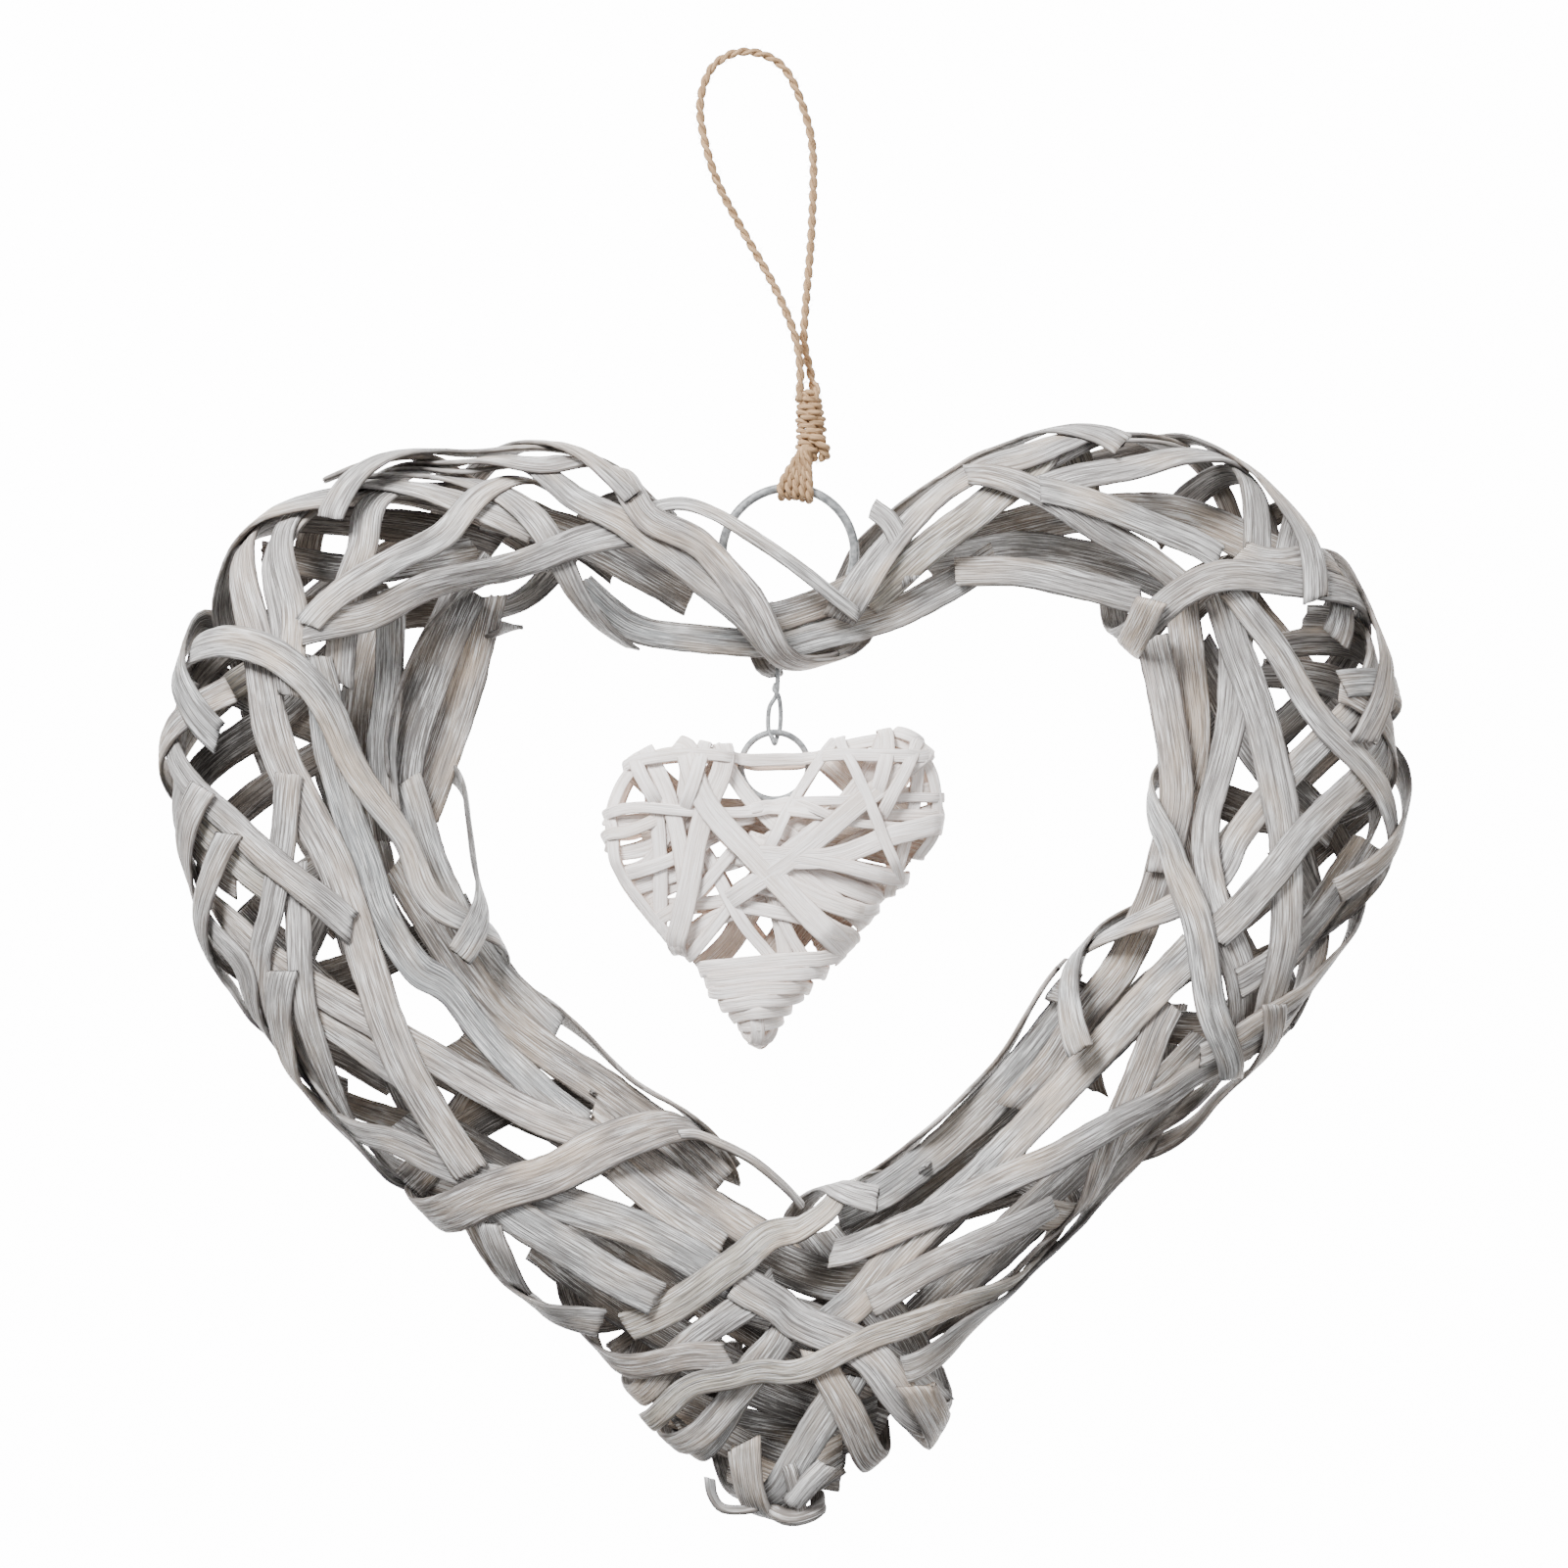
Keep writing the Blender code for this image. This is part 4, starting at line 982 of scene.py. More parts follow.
def put_strip(name, centre, side, normal, width, thick, seed, material, tone, warmth, crown=CROWN):
    """A ribbon in the scene with its tone, and its wear and painted shade, on its points."""
    points, faces, maps, edge, under = ribbon(centre, side, normal, width, thick, seed, crown)
    tones = np.tile(np.array(tone), (len(points), 1))
    # The middle mask marks the under face, darkened partly as rough inner wood and partly as painted shade.
    wear_and_shade = np.stack([edge, under, np.full(len(points), warmth)], axis=1)
    colours = (("tone", tones), ("wear_and_shade", wear_and_shade))
    return put_mesh(name, to_world(points), faces, material, maps=maps, colours=colours)


print("ribbon has", TOP_LANES + len(LOW_LANES), "points round it")

# %% [markdown]
# These are the strips, in the order they were wound. The first table holds the strips
# that the CAD part has too, and each fine strip takes the place of its plain one. The
# second holds thinner ones, ones inside the tube, and some over the back, which the
# photograph doesn't show; most of those inside and behind are darkened with painted
# shade. Each lot is laid just before the strip whose name it is under.

# %% Strips of the big heart
# Each strip: its name, width, face, degrees it goes on round the edge at its start and at
# its end, and the places it passes. One that lies INSIDE gives its depth, then 0.
STRIPS = (
    ("left_inner_strip", 8.0, INSIDE, 0.5, 0,
     ((-80, 134), (-74, 124), (-59, 103), (-37, 87), (-25, 78), (-14, 68))),
    ("right_inner_low_strip", 7.5, INSIDE, 1.0, 0,
     ((10, 62), (20, 67), (33, 77), (45, 89), (54, 100), (60, 108))),
    ("right_inner_strip", 7.0, INSIDE, -1.5, 0,
     ((46, 84), (54, 93), (61, 104), (68, 113), (74, 126), (77, 136))),
    ("right_upper_inner_strip", 7.0, INSIDE, -1.0, 0, ((80, 188), (82, 172), (83, 160), (81, 148))),
    ("left_arch_inner_strip", 6.0, INSIDE, -0.5, 0, ((-81, 190), (-81.5, 172), (-83, 155), (-81, 138))),
    ("right_arch_inner_strip", 6.0, INSIDE, -4.0, 0, ((34, 193), (47, 193), (59, 190.5), (72, 187))),
    ("cleft_under_strip", 6.0, INSIDE, 1.0, 0,
     ((-43, 191), (-32, 182), (-17, 179.5), (2, 178.5), (14, 182))),
    ("left_side_back_strip", 7.5, BACK, 50, 8, ((-122, 150), (-104, 165), (-84, 186))),
    ("left_low_back_strip", 7.5, BACK, 45, 0, ((-110, 108), (-88, 112), (-70, 122))),
    ("right_side_back_strip", 7.5, BACK, 50, 0, ((122, 150), (104, 143), (86, 148))),
    ("right_low_back_strip", 7.5, BACK, 50, 25, ((104, 106), (82, 100), (56, 106))),
    ("left_arch_down_strip", 6.5, FRONT, 110, 0, ((-84, 208), (-87, 198), (-91, 184), (-92, 170))),
    ("left_side_rise_strip", 6.5, FRONT, 80, 0, ((-122, 143), (-115, 136), (-104, 128))),
    ("left_low_strip", 5.5, FRONT, 110, 0, ((-113, 113), (-105, 107), (-91, 98), (-78, 90))),
    ("left_base_short_strip", 6.0, FRONT, 0, 0, ((-36, 72), (-25, 63), (-13, 55))),
    ("right_arch_steep_strip", 6.0, FRONT, 100, 0, ((93.5, 214), (95.6, 206), (95, 190))),
    ("right_side_cross_strip", 6.0, FRONT, 90, 90,
     ((84, 129), (92, 140), (101, 150), (109, 158.6), (117, 168))),
    ("right_base_steep_strip", 6.5, FRONT, 90, 0,
     ((48, 51), (56, 60), (66, 77), (74, 96), (78, 106))),
    ("left_bluish_strip", 7.0, FRONT, 0, 0,
     ((-97, 176), (-94, 162), (-87.5, 138), (-83, 124), (-76, 113), (-67, 105), (-41.5, 80))),
    ("left_long_low_strip", 6.5, FRONT, 110, 0,
     ((-119, 127), (-112, 119), (-93, 106), (-71, 93), (-49, 81), (-35, 76))),
    ("left_base_long_strip", 7.5, FRONT, 0, 0, ((-52, 66), (-39, 62), (-29, 58), (-9, 47))),
    ("right_base_wide_strip", 7.5, FRONT, 0, 0,
     ((9, 40), (20, 51.4), (36, 67), (56, 88), (73, 106), (84, 117))),
    ("right_edge_pair_strip", 7.0, FRONT, 0, 0,
     ((91, 190), (91.4, 176), (87.6, 150), (85, 140), (86, 129), (90, 118), (91, 96))),
    ("right_long_strip", 7.0, FRONT, 0, 50,
     ((88, 189), (92, 176), (98, 157), (101.4, 138), (101.4, 118), (98, 104))),
    ("right_rise_strip", 6.5, FRONT, 0, 100, ((86, 119), (99, 132), (109, 143), (121, 158))),
    ("right_fork_strip", 5.5, FRONT, 0, 60, ((91, 189), (97, 181), (108, 164), (120, 148))),
    ("left_low_upright_strip", 5.5, FRONT, 0, 60, ((-101, 133), (-100, 118), (-97, 98), (-92, 86))),
    ("tip_left_strip", 6.5, FRONT, 80, 0, ((-17, 16), (-11, 25), (-6, 32), (2, 42))),
    ("tip_middle_strip", 7.0, FRONT, 80, 0, ((-3, 5), (2, 12), (7, 20), (13, 29))),
    ("tip_right_strip", 6.5, FRONT, 0, 80, ((6, 34), (12, 22), (17, 12))),
    ("left_low_edge_strip", 6.5, FRONT, 100, 0,
     ((-97, 87), (-92, 81.5), (-81, 76.5), (-71, 72.5), (-58, 69))),
    ("left_main_strip", 7.5, FRONT, 110, 0,
     ((-110, 200), (-110, 184), (-107, 170), (-97, 142), (-90, 126), (-85, 110), (-71, 80), (-64, 70))),
    ("left_arch_upright_strip", 5.5, FRONT, 110, 0, ((-97, 209), (-101.5, 190), (-101, 176))),
    ("left_side_top_strip", 6.0, FRONT, 110, 0, ((-124, 153), (-113, 141.5), (-97, 128), (-89, 120))),
    ("left_arch_low_strip", 5.5, FRONT, 0, 0, ((-93, 210), (-84, 211), (-75, 210), (-65, 206), (-52, 201))),
    ("left_arch_cut_strip", 5.5, FRONT, 70, 0,
     ((-81, 213), (-71, 213), (-61, 210), (-52, 203), (-42, 192), (-30, 183))),
    ("left_arch_long_strip", 6.5, FRONT, 0, 0,
     ((-99, 181), (-81, 187), (-65, 192), (-49, 195.5), (-24, 201))),
    ("left_arch_rise_strip", 5.5, FRONT, 0, 20, ((-98, 183), (-81, 195.5), (-69, 202), (-50, 212))),
    ("left_cleft_strip", 6.0, FRONT, 60, 10,
     ((-68, 214), (-55, 213), (-45, 209), (-33, 202), (-21, 194), (-9, 185), (-1, 179))),
    ("left_cleft_top_strip", 7.0, FRONT, 50, 45,
     ((-50, 214), (-39, 212.5), (-29, 206), (-17, 196.5), (-5, 186), (3, 179))),
    ("right_arch_wide_strip", 7.0, FRONT, 0, 90,
     ((16, 187), (25, 195), (35, 203), (43, 209), (51, 216), (56, 220))),
    ("right_arch_long_strip", 5.5, FRONT, 0, 70, ((48, 209), (61, 213), (71, 215), (81, 217), (90, 217))),
    ("right_cleft_strip", 7.0, FRONT, 0, 30,
     ((10, 184), (17, 193), (25, 203), (32, 210), (39, 214), (49, 217))),
    ("right_arch_cross_strip", 5.5, FRONT, 0, 0,
     ((36, 213), (45, 212), (55, 207.6), (65, 201), (75, 195), (82, 189))),
    ("right_base_cross_strip", 6.0, FRONT, 0, 80,
     ((9, 54), (19, 57.6), (31, 63), (43, 68), (55, 74), (67, 80), (77, 86), (87, 93))),
    ("right_fold_strip", 6.5, FRONT, 75, 0, ((77, 142), (80, 131), (83, 122), (87, 102), (90, 90))),
    ("tip_square_strip", 8.0, FRONT, 0, 40, ((-11, 49), (-1, 42.4), (8, 37.6), (17, 33), (25, 22))),
    ("tip_long_strip", 6.5, FRONT, 0, 35,
     ((-33, 38), (-21, 45), (-11, 52), (-1, 58.4), (9, 64))),
    ("left_base_band_strip", 9.0, FRONT, 110, 30,
     ((-76, 62), (-63, 66), (-49, 71), (-37, 75), (-25, 78.5), (-18, 79.5))),
    ("right_collar_strip", 6.5, FRONT, 60, 110,
     ((74, 184), (80, 189), (89, 192.4), (99, 192), (109, 190), (118, 187.6))),
    ("tip_yellow_strip", 5.0, FRONT, 0, 60,
     ((-27, 21), (-21, 26), (-13, 28.6), (-3, 30), (13, 35), (23, 39), (39, 45.6), (51, 50))),
    ("left_collar_strip", 6.5, FRONT, 110, 20,
     ((-122, 178), (-113, 180), (-103, 174), (-93, 165), (-83, 155), (-75, 143), (-69, 126))),
)
# The thinner strips, under the name of the strip that each lot is laid before.
EXTRAS = {
    "left_inner_strip": (
        ("tip_back", 7.5, BACK, 0, 0, ((-24, 18), (-2, 36), (20, 50), (34, 72))),
        ("left_arch_back", 7.0, BACK, 50, 0, ((-68, 187), (-74, 170), (-82, 152))),
        ("left_base_back", 7.5, BACK, 0, 0, ((-78, 68), (-60, 82), (-34, 88))),
        ("right_arch_back", 7.0, BACK, 50, 0, ((112, 194), (96, 196), (76, 180))),
        ("right_base_back", 7.5, BACK, 50, 0, ((60, 62), (46, 70), (24, 72))),
    ),
    "left_base_short_strip": (
        ("left_base_inner", 8.0, FRONT, 0, 0, ((-38, 84), (-23, 72), (-14, 66), (-5, 59))),
    ),
    "right_fork_strip": (
        ("right_outer_short", 6.0, FRONT, 60, 0, ((121, 179), (119, 173), (117, 168))),
    ),
    "right_long_strip": (
        ("right_low_outer", 6.0, FRONT, 0, 60, ((92, 110), (100, 115), (109, 122))),
    ),
    "left_side_top_strip": (
        ("left_side_short", 5.5, FRONT, 0, 60, ((-102, 152), (-103, 140), (-105, 128), (-107, 118))),
        ("left_outer_edge", 5.5, FRONT, 0, 40, ((-123, 152), (-124, 137), (-120, 126), (-112, 114))),
    ),
    "left_arch_upright_strip": (
        ("left_shoulder", 6.0, FRONT, 80, 0, ((-104, 201), (-103, 184), (-101, 168))),
    ),
    "right_arch_wide_strip": (
        ("right_arch_curl", 4.5, FRONT, 0, 60, ((50, 214), (59, 218), (67, 221.6), (73, 223))),
    ),
    "right_base_cross_strip": (
        ("right_base_low", 6.0, FRONT, 0, 0, ((17, 44), (31, 52), (41, 57), (54, 63))),
    ),
    "right_fold_strip": (
        ("right_low_wrap", 5.0, FRONT, 0, 80, ((84, 94), (91, 98), (99, 103))),
    ),
    "tip_square_strip": (
        ("tip_slant_low", 6.0, FRONT, 60, 0, ((-18, 17), (-12, 24), (-6, 31), (-1, 38))),
        ("tip_slant_high", 6.0, FRONT, 60, 0, ((-30, 26), (-23, 33), (-13, 41), (-3, 48))),
        ("tip_brown", 6.0, FRONT, 50, 0, ((-31, 31), (-21, 33), (-12, 33))),
    ),
    "left_base_band_strip": (
        ("left_base_flat", 8.0, FRONT, 0, 0, ((-58, 63), (-45, 55), (-37, 50), (-27, 45))),
        ("left_base_drop", 5.5, FRONT, 0, 60, ((-61, 60), (-58, 52), (-55, 43), (-52, 37))),
    ),
    "right_collar_strip": (
        ("right_arch_tall", 5.0, FRONT, 60, 0, ((102.6, 206), (101.4, 200), (100, 190))),
        ("right_outer_flat", 5.5, FRONT, 0, 60, ((92, 197), (100, 196), (113, 195))),
        ("right_arch_pale", 5.5, FRONT, 0, 0, ((52, 210), (67, 205.6), (77, 201.6), (88, 196))),
    ),
    "left_side_back_strip": (
        ("base_dark_outer", 9.0, INSIDE, 4.0, 0, ((-78, 82), (-50, 66), (-25, 50), (-3, 36))),
        ("base_dark_inner", 9.0, INSIDE, 6.0, 0, ((-70, 96), (-42, 77), (-16, 62), (8, 48))),
        ("tip_dark_upper", 9.0, INSIDE, 3.0, 0, ((-19, 32), (0, 24), (19, 17))),
        ("tip_dark_lower", 8.0, INSIDE, 2.0, 0, ((-15, 17), (-2, 11), (11, 9))),
        ("tip_dark_upright", 8.0, INSIDE, 4.5, 0, ((2, 4), (5, 20), (9, 36), (16, 50))),
        ("right_dark_inner", 9.0, INSIDE, 5.0, 0, ((11, 55), (34, 71), (54, 87), (74, 106))),
        ("right_dark_outer", 8.5, INSIDE, 6.5, 0, ((16, 30), (40, 52), (64, 74), (87, 97))),
        ("tip_dark_right", 9.0, INSIDE, 1.5, 0, ((-10, 44), (8, 38), (24, 28), (30, 22))),
        ("left_arch_dark", 8.0, INSIDE, 5.0, 0, ((-62, 206), (-42, 200), (-20, 188))),
        ("left_arch_dark_low", 6.0, INSIDE, 6.0, 0, ((-108, 197), (-88, 194), (-64, 198))),
        ("right_arch_dark", 8.0, INSIDE, 5.0, 0, ((36, 200), (58, 205), (80, 205), (102, 196))),
        ("right_arch_dark_low", 7.0, INSIDE, 3.0, 0, ((28, 195), (48, 198), (66, 195), (84, 188))),
        ("left_low_dark", 7.0, INSIDE, 6.0, 0, ((-112, 124), (-96, 108), (-80, 94))),
        ("right_low_dark", 6.5, INSIDE, 6.0, 0, ((119, 138), (104, 117), (88, 99))),
        ("right_side_dark", 7.0, INSIDE, 5.0, 0, ((84, 178), (96, 156), (112, 140))),
        ("right_inner_pale", 7.0, INSIDE, -3.5, 0, ((74, 180), (77, 165), (79, 148), (76, 132))),
        ("right_cleft_low", 6.5, INSIDE, -2.0, 0,
         ((-6, 177), (7, 180.5), (20, 184), (32, 190), (42, 196))),
        ("left_inner_tall", 9.0, INSIDE, 3.0, 0, ((-66, 190), (-72, 176), (-78, 158), (-80, 140))),
        ("left_inner_slant", 8.0, INSIDE, 6.0, 0, ((-62, 188), (-66, 172), (-71, 156), (-76, 142))),
        ("left_inner_dark", 8.0, INSIDE, 6.0, 0, ((-84, 186), (-88, 168), (-88, 150), (-84, 130))),
        ("left_inner_low", 8.5, INSIDE, 2.0, 0, ((-79, 150), (-73, 132), (-63, 114), (-48, 98))),
        ("base_fill_left", 9.0, INSIDE, 7.0, 0, ((-52, 56), (-36, 44), (-20, 34), (-6, 26))),
        ("base_fill_middle", 9.0, INSIDE, 5.0, 0, ((-34, 62), (-16, 46), (2, 34), (18, 26))),
        ("base_fill_right", 9.0, INSIDE, 4.0, 0, ((6, 58), (16, 46), (24, 36), (28, 26))),
        ("base_fill_top", 9.0, INSIDE, 3.0, 0, ((-22, 64), (-6, 54), (10, 48), (26, 50))),
        ("tip_fill", 9.0, INSIDE, 3.0, 0, ((-22, 22), (-10, 18), (6, 16), (18, 20))),
        ("tip_fill_low", 8.0, INSIDE, 1.0, 0, ((-12, 11), (0, 7), (11, 13))),
        ("cleft_dark", 6.5, INSIDE, -2.8, 0, ((-9, 183), (-2, 184), (6, 186.5), (14, 190))),
        ("cleft_dark_low", 5.0, INSIDE, -1.2, 0, ((-4, 180), (4, 181.5), (12, 184.5))),
    ),
}
TONES = {
    "plain": (0.383, 0.366, 0.357), "pale": (0.511, 0.502, 0.494), "grey": (0.306, 0.306, 0.306),
    "blue": (0.306, 0.319, 0.327), "pink": (0.409, 0.366, 0.340), "yellow": (0.426, 0.388, 0.327),
    "brown": (0.315, 0.272, 0.242), "dark": (0.162, 0.154, 0.149),
}
TONED = {
    "pale": (
        "left_collar_strip", "right_arch_pale", "left_arch_rise_strip",
    ),
    "blue": (
        "left_bluish_strip", "cleft_under_strip",
    ),
    "yellow": (
        "left_side_rise_strip", "right_arch_wide_strip", "tip_yellow_strip", "tip_long_strip",
    ),
    "pink": (
        "left_cleft_top_strip", "left_main_strip", "left_long_low_strip", "right_inner_pale",
    ),
    "grey": (
        "left_base_flat", "right_inner_low_strip", "tip_left_strip", "left_arch_inner_strip",
        "right_fold_strip", "tip_dark_right", "right_arch_dark_low", "right_cleft_low",
        "left_inner_low", "cleft_dark_low", "tip_middle_strip", "right_base_wide_strip",
        "left_base_long_strip",
    ),
    "brown": (
        "left_base_inner", "tip_brown", "left_inner_strip", "right_inner_strip",
        "right_upper_inner_strip", "left_inner_slant", "base_fill_middle", "left_base_band_strip",
        "tip_right_strip", "right_base_steep_strip",
    ),
    # On these strips, which lie inside the tube and over the back, the dark tone is painted shade of the
    # hollows.
    "dark": (
        "left_side_back_strip", "left_low_back_strip", "right_side_back_strip",
        "right_low_back_strip", "tip_back", "left_arch_back", "left_base_back", "right_arch_back",
        "right_base_back", "base_dark_outer", "base_dark_inner", "tip_dark_upper", "tip_dark_lower",
        "tip_dark_upright", "right_dark_inner", "right_dark_outer", "left_arch_dark",
        "left_arch_dark_low", "right_arch_dark", "left_low_dark", "right_low_dark",
        "right_side_dark", "left_inner_tall", "left_inner_dark", "base_fill_left",
        "base_fill_right", "base_fill_top", "tip_fill", "tip_fill_low", "cleft_dark",
    ),
}
STRIP_TONES = {name: tone for tone, names in TONED.items() for name in names}

# %% Lay the strips of the big heart
TONE_SEED = 11
TONE_SPREAD = (0.9, 1.08)
WARM_SPREAD = (0.3, 0.9)
tone_rng = np.random.default_rng(TONE_SEED)


def grey_strip(name, lines, width, seed, tone):
    """A washed strip of the big heart, with its tone and its warmth varied a little."""
    shade = np.array(TONES[tone]) * tone_rng.uniform(*TONE_SPREAD)
    warmth = tone_rng.uniform(*WARM_SPREAD)
    piece = put_strip(name, *lines, width, STRIP_THICK, seed, GREY_WILLOW, shade, warmth)
    return piece


cad_names = {row[0] for row in STRIPS}
order = []
for row in STRIPS:
    order.extend(EXTRAS.get(row[0], ()))
    order.append(row)
for seed, (name, width, face, turn_on, turn_off, places) in enumerate(order):
    if face == INSIDE:
        lines = place_inside(width, turn_on, places)
    else:
        lines = lay_strip(width, settled_route(width, face, turn_on, turn_off, places))[:3]
    tone = STRIP_TONES.get(name, "plain")
    piece = grey_strip(name.replace("_strip", "_willow"), lines, width, seed, tone)
    if name in cad_names:
        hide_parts(name)
print(len(order), "strips laid, highest", round(float(tube.height.max()), 1), "mm above the tube")

# %% [markdown]
# The photograph shows only the front, but a garland is wound all the way round. So the
# strips go on over the back: each of these runs lies straight behind a front strip, a
# little further out, and so closes no gap that the photograph shows as open.

# %% Runs over the back
# Each run: the front strip that it lies behind, and degrees round the edge at its ends.
BACK_SPREAD = 1.03
BACK_SEED = 200
BACK_TONES = ("plain", "grey", "pink", "plain", "brown")
BEHIND = (
    ("left_main_strip", 40, 40), ("left_bluish_strip", 0, 0), ("left_long_low_strip", 50, 0),
    ("left_base_long_strip", 0, 0), ("left_inner_strip", 0, 0), ("left_low_edge_strip", 60, 0),
    ("left_arch_long_strip", 0, 0), ("left_arch_low_strip", 0, 0), ("left_cleft_strip", 60, 0),
    ("left_side_top_strip", 60, 0), ("left_arch_rise_strip", 0, 50), ("left_collar_strip", 60, 40),
    ("right_edge_pair_strip", 0, 0), ("right_long_strip", 0, 0), ("right_rise_strip", 0, 60),
    ("right_base_wide_strip", 0, 0), ("right_base_steep_strip", 60, 0), ("right_base_cross_strip", 0, 50),
    ("right_arch_long_strip", 0, 60), ("right_arch_cross_strip", 0, 0), ("right_cleft_strip", 0, 40),
    ("right_side_cross_strip", 60, 60), ("tip_square_strip", 0, 50), ("tip_long_strip", 0, 40),
    ("right_inner_low_strip", 0, 0), ("right_fork_strip", 0, 50), ("tip_middle_strip", 50, 0),
    ("right_collar_strip", 50, 50), ("left_low_strip", 60, 0),
)
front_rows = {row[0]: row for row in STRIPS}
for number, (name, turn_on, turn_off) in enumerate(BEHIND):
    width, places = front_rows[name][1], np.array(front_rows[name][5], float)
    places = SEEN_MIDDLE + (places - SEEN_MIDDLE) * BACK_SPREAD
    lines = lay_strip(width, settled_route(width, BACK, turn_on, turn_off, places))[:3]
    tone = BACK_TONES[number % len(BACK_TONES)]
    grey_strip("behind_" + name.replace("_strip", "_willow"), lines, width, BACK_SEED + number, tone)
print(len(BEHIND), "runs over the back")

# %% [markdown]
# A few strips leave the tube. One thin pale strip springs free across the big ring, the
# tail of the lower band stands edge-on off the inner edge, and some short ends curl at
# the tip. They are the same ribbon on a path of their own, given in all three directions.

# %% Free strips
# Each strip: its name, width, thickness, seed, tone, warmth, crown, the way its broad face
# looks, and the places it passes.
FREE_STRIPS = (
    ("bridging_willow", 3.0, 0.9, 301, "pale", 0.4, CROWN, (0.1, -1, 0.3),
     ((-33, -3, 203), (-27, -6, 206), (-21, -9, 206.6), (-15, -10.5, 204.5), (-9, -11.5, 201),
      (0, -11, 195), (9, -9.5, 188), (14, -8, 184))),
    ("band_tail_willow", 2.4, 1.0, 302, "plain", 0.4, CROWN, (0.5, -0.6, 0.7),
     ((-22, -14, 79.5), (-17.6, -13, 79), (-8, -11, 74.4), (-1, -8, 68.5), (2.8, -5, 64.2))),
    ("tip_hook_willow", 2.4, 0.9, 303, "grey", 0.4, CROWN, (0.2, -0.6, 0.8),
     ((-16, -6, 9), (-15.4, -5.5, 5.5), (-13.4, -5, 2.8), (-9, -4.5, 2.4), (-5.2, -4, 3.4))),
    ("tip_roll_willow", 4.6, 2.6, 304, "pale", 0.6, 0.6, (0, -1, 0.2),
     ((1, -6, 4), (4, -8, 8), (8, -8, 12))),
    ("tip_end_willow", 3.4, 2.0, 305, "dark", 0.2, 0.6, (0.3, -1, 0),
     ((0, -7, 12), (1.5, -6.5, 6), (2.4, -5, 0.5))),
    ("tip_knot_willow", 3.0, 1.8, 306, "dark", 0.2, 0.6, (0.1, -0.8, -0.6),
     ((-3, -5, 2.2), (1, -7, 1.2), (5.5, -5, 2.6), (6, 0, 5))),
    ("cleft_stub_willow", 4.5, 0.9, 308, "plain", 0.4, CROWN, (0, -1, 0.1),
     ((17, -5, 206), (20.5, -6.5, 203), (23, -7.5, 198), (25, -6, 191))),
    ("left_rod_willow", 2.6, 2.2, 307, "dark", 0.3, 0.5, (-0.6, -0.8, 0),
     ((-121, -2, 171), (-123.5, -3, 163), (-124, -3, 155), (-122, -4, 146))),
)
for name, width, thick, seed, tone, warmth, crown, face_way, places in FREE_STRIPS:
    centre = even_line(smooth_line(np.array(places, float), 16), 1.0)
    heading = unit(np.gradient(centre, axis=0))
    way = np.array(face_way, float)
    normal = unit(way - heading * (heading @ way)[:, None])
    side = np.cross(normal, heading)
    piece = put_strip(name, centre, side, normal, width, thick, seed, GREY_WILLOW,
                      TONES[tone], warmth, crown)
print(len(FREE_STRIPS), "free strips")

# %% [markdown]
# The small heart is wound flat, like a cushion: thin at its rim, thicker in its middle.
# Its strips cross on the front as the photograph shows, turn round the rim, and come
# back over the back on nearly the same way, so that the open places stay open. A map of
# heights for each face lets every strip lie on those before it.

# %% Small heart's cushion
SMALL_CENTRE = (-3.0, 95.6)
SMALL_HALF_DEPTH = 4.2
SMALL_RIM = 9.0
SMALL_EDGE = 1.1
SMALL_REACH = 3.0
SMALL_FEWEST = 6
SMALL_RIM_PILE = 0.7
SMALL_RIM_RISE = 0.55
SMALL_LEAST = 1.6
SMALL_THICK = 0.42
SMALL_SLOPE = 0.22
SMALL_PILE = 4.2
SMALL_STEP = 0.8
SMALL_LAP = 6
SMALL_CLEAR = 0.1
SMALL_LANES = np.linspace(-0.42, 0.42, 5)
MAP_CELLS = 160
MAP_FINE = 2
MAP_START = (80, 12)
SMALL_OUTLINE = (
    (-0.8, 50.0), (4.0, 52.5), (8.0, 59.0), (12.0, 63.0), (24.5, 65.2), (30.5, 62.5), (34.0, 56.0),
    (34.5, 47.0), (31.0, 39.5), (27.0, 34.5), (21.0, 28.5), (13.5, 18.5), (4.2, 9.3), (-0.5, 3.0),
    (-3.0, 0.3),
    (-7.5, 5.5), (-12.0, 10.5), (-17.0, 17.0), (-25.3, 27.0), (-30.0, 33.5), (-34.2, 40.5), (-34.3, 49.5),
    (-32.5, 55.0), (-28.7, 59.8), (-23.6, 62.0), (-10.0, 62.2), (-6.0, 57.0),
)
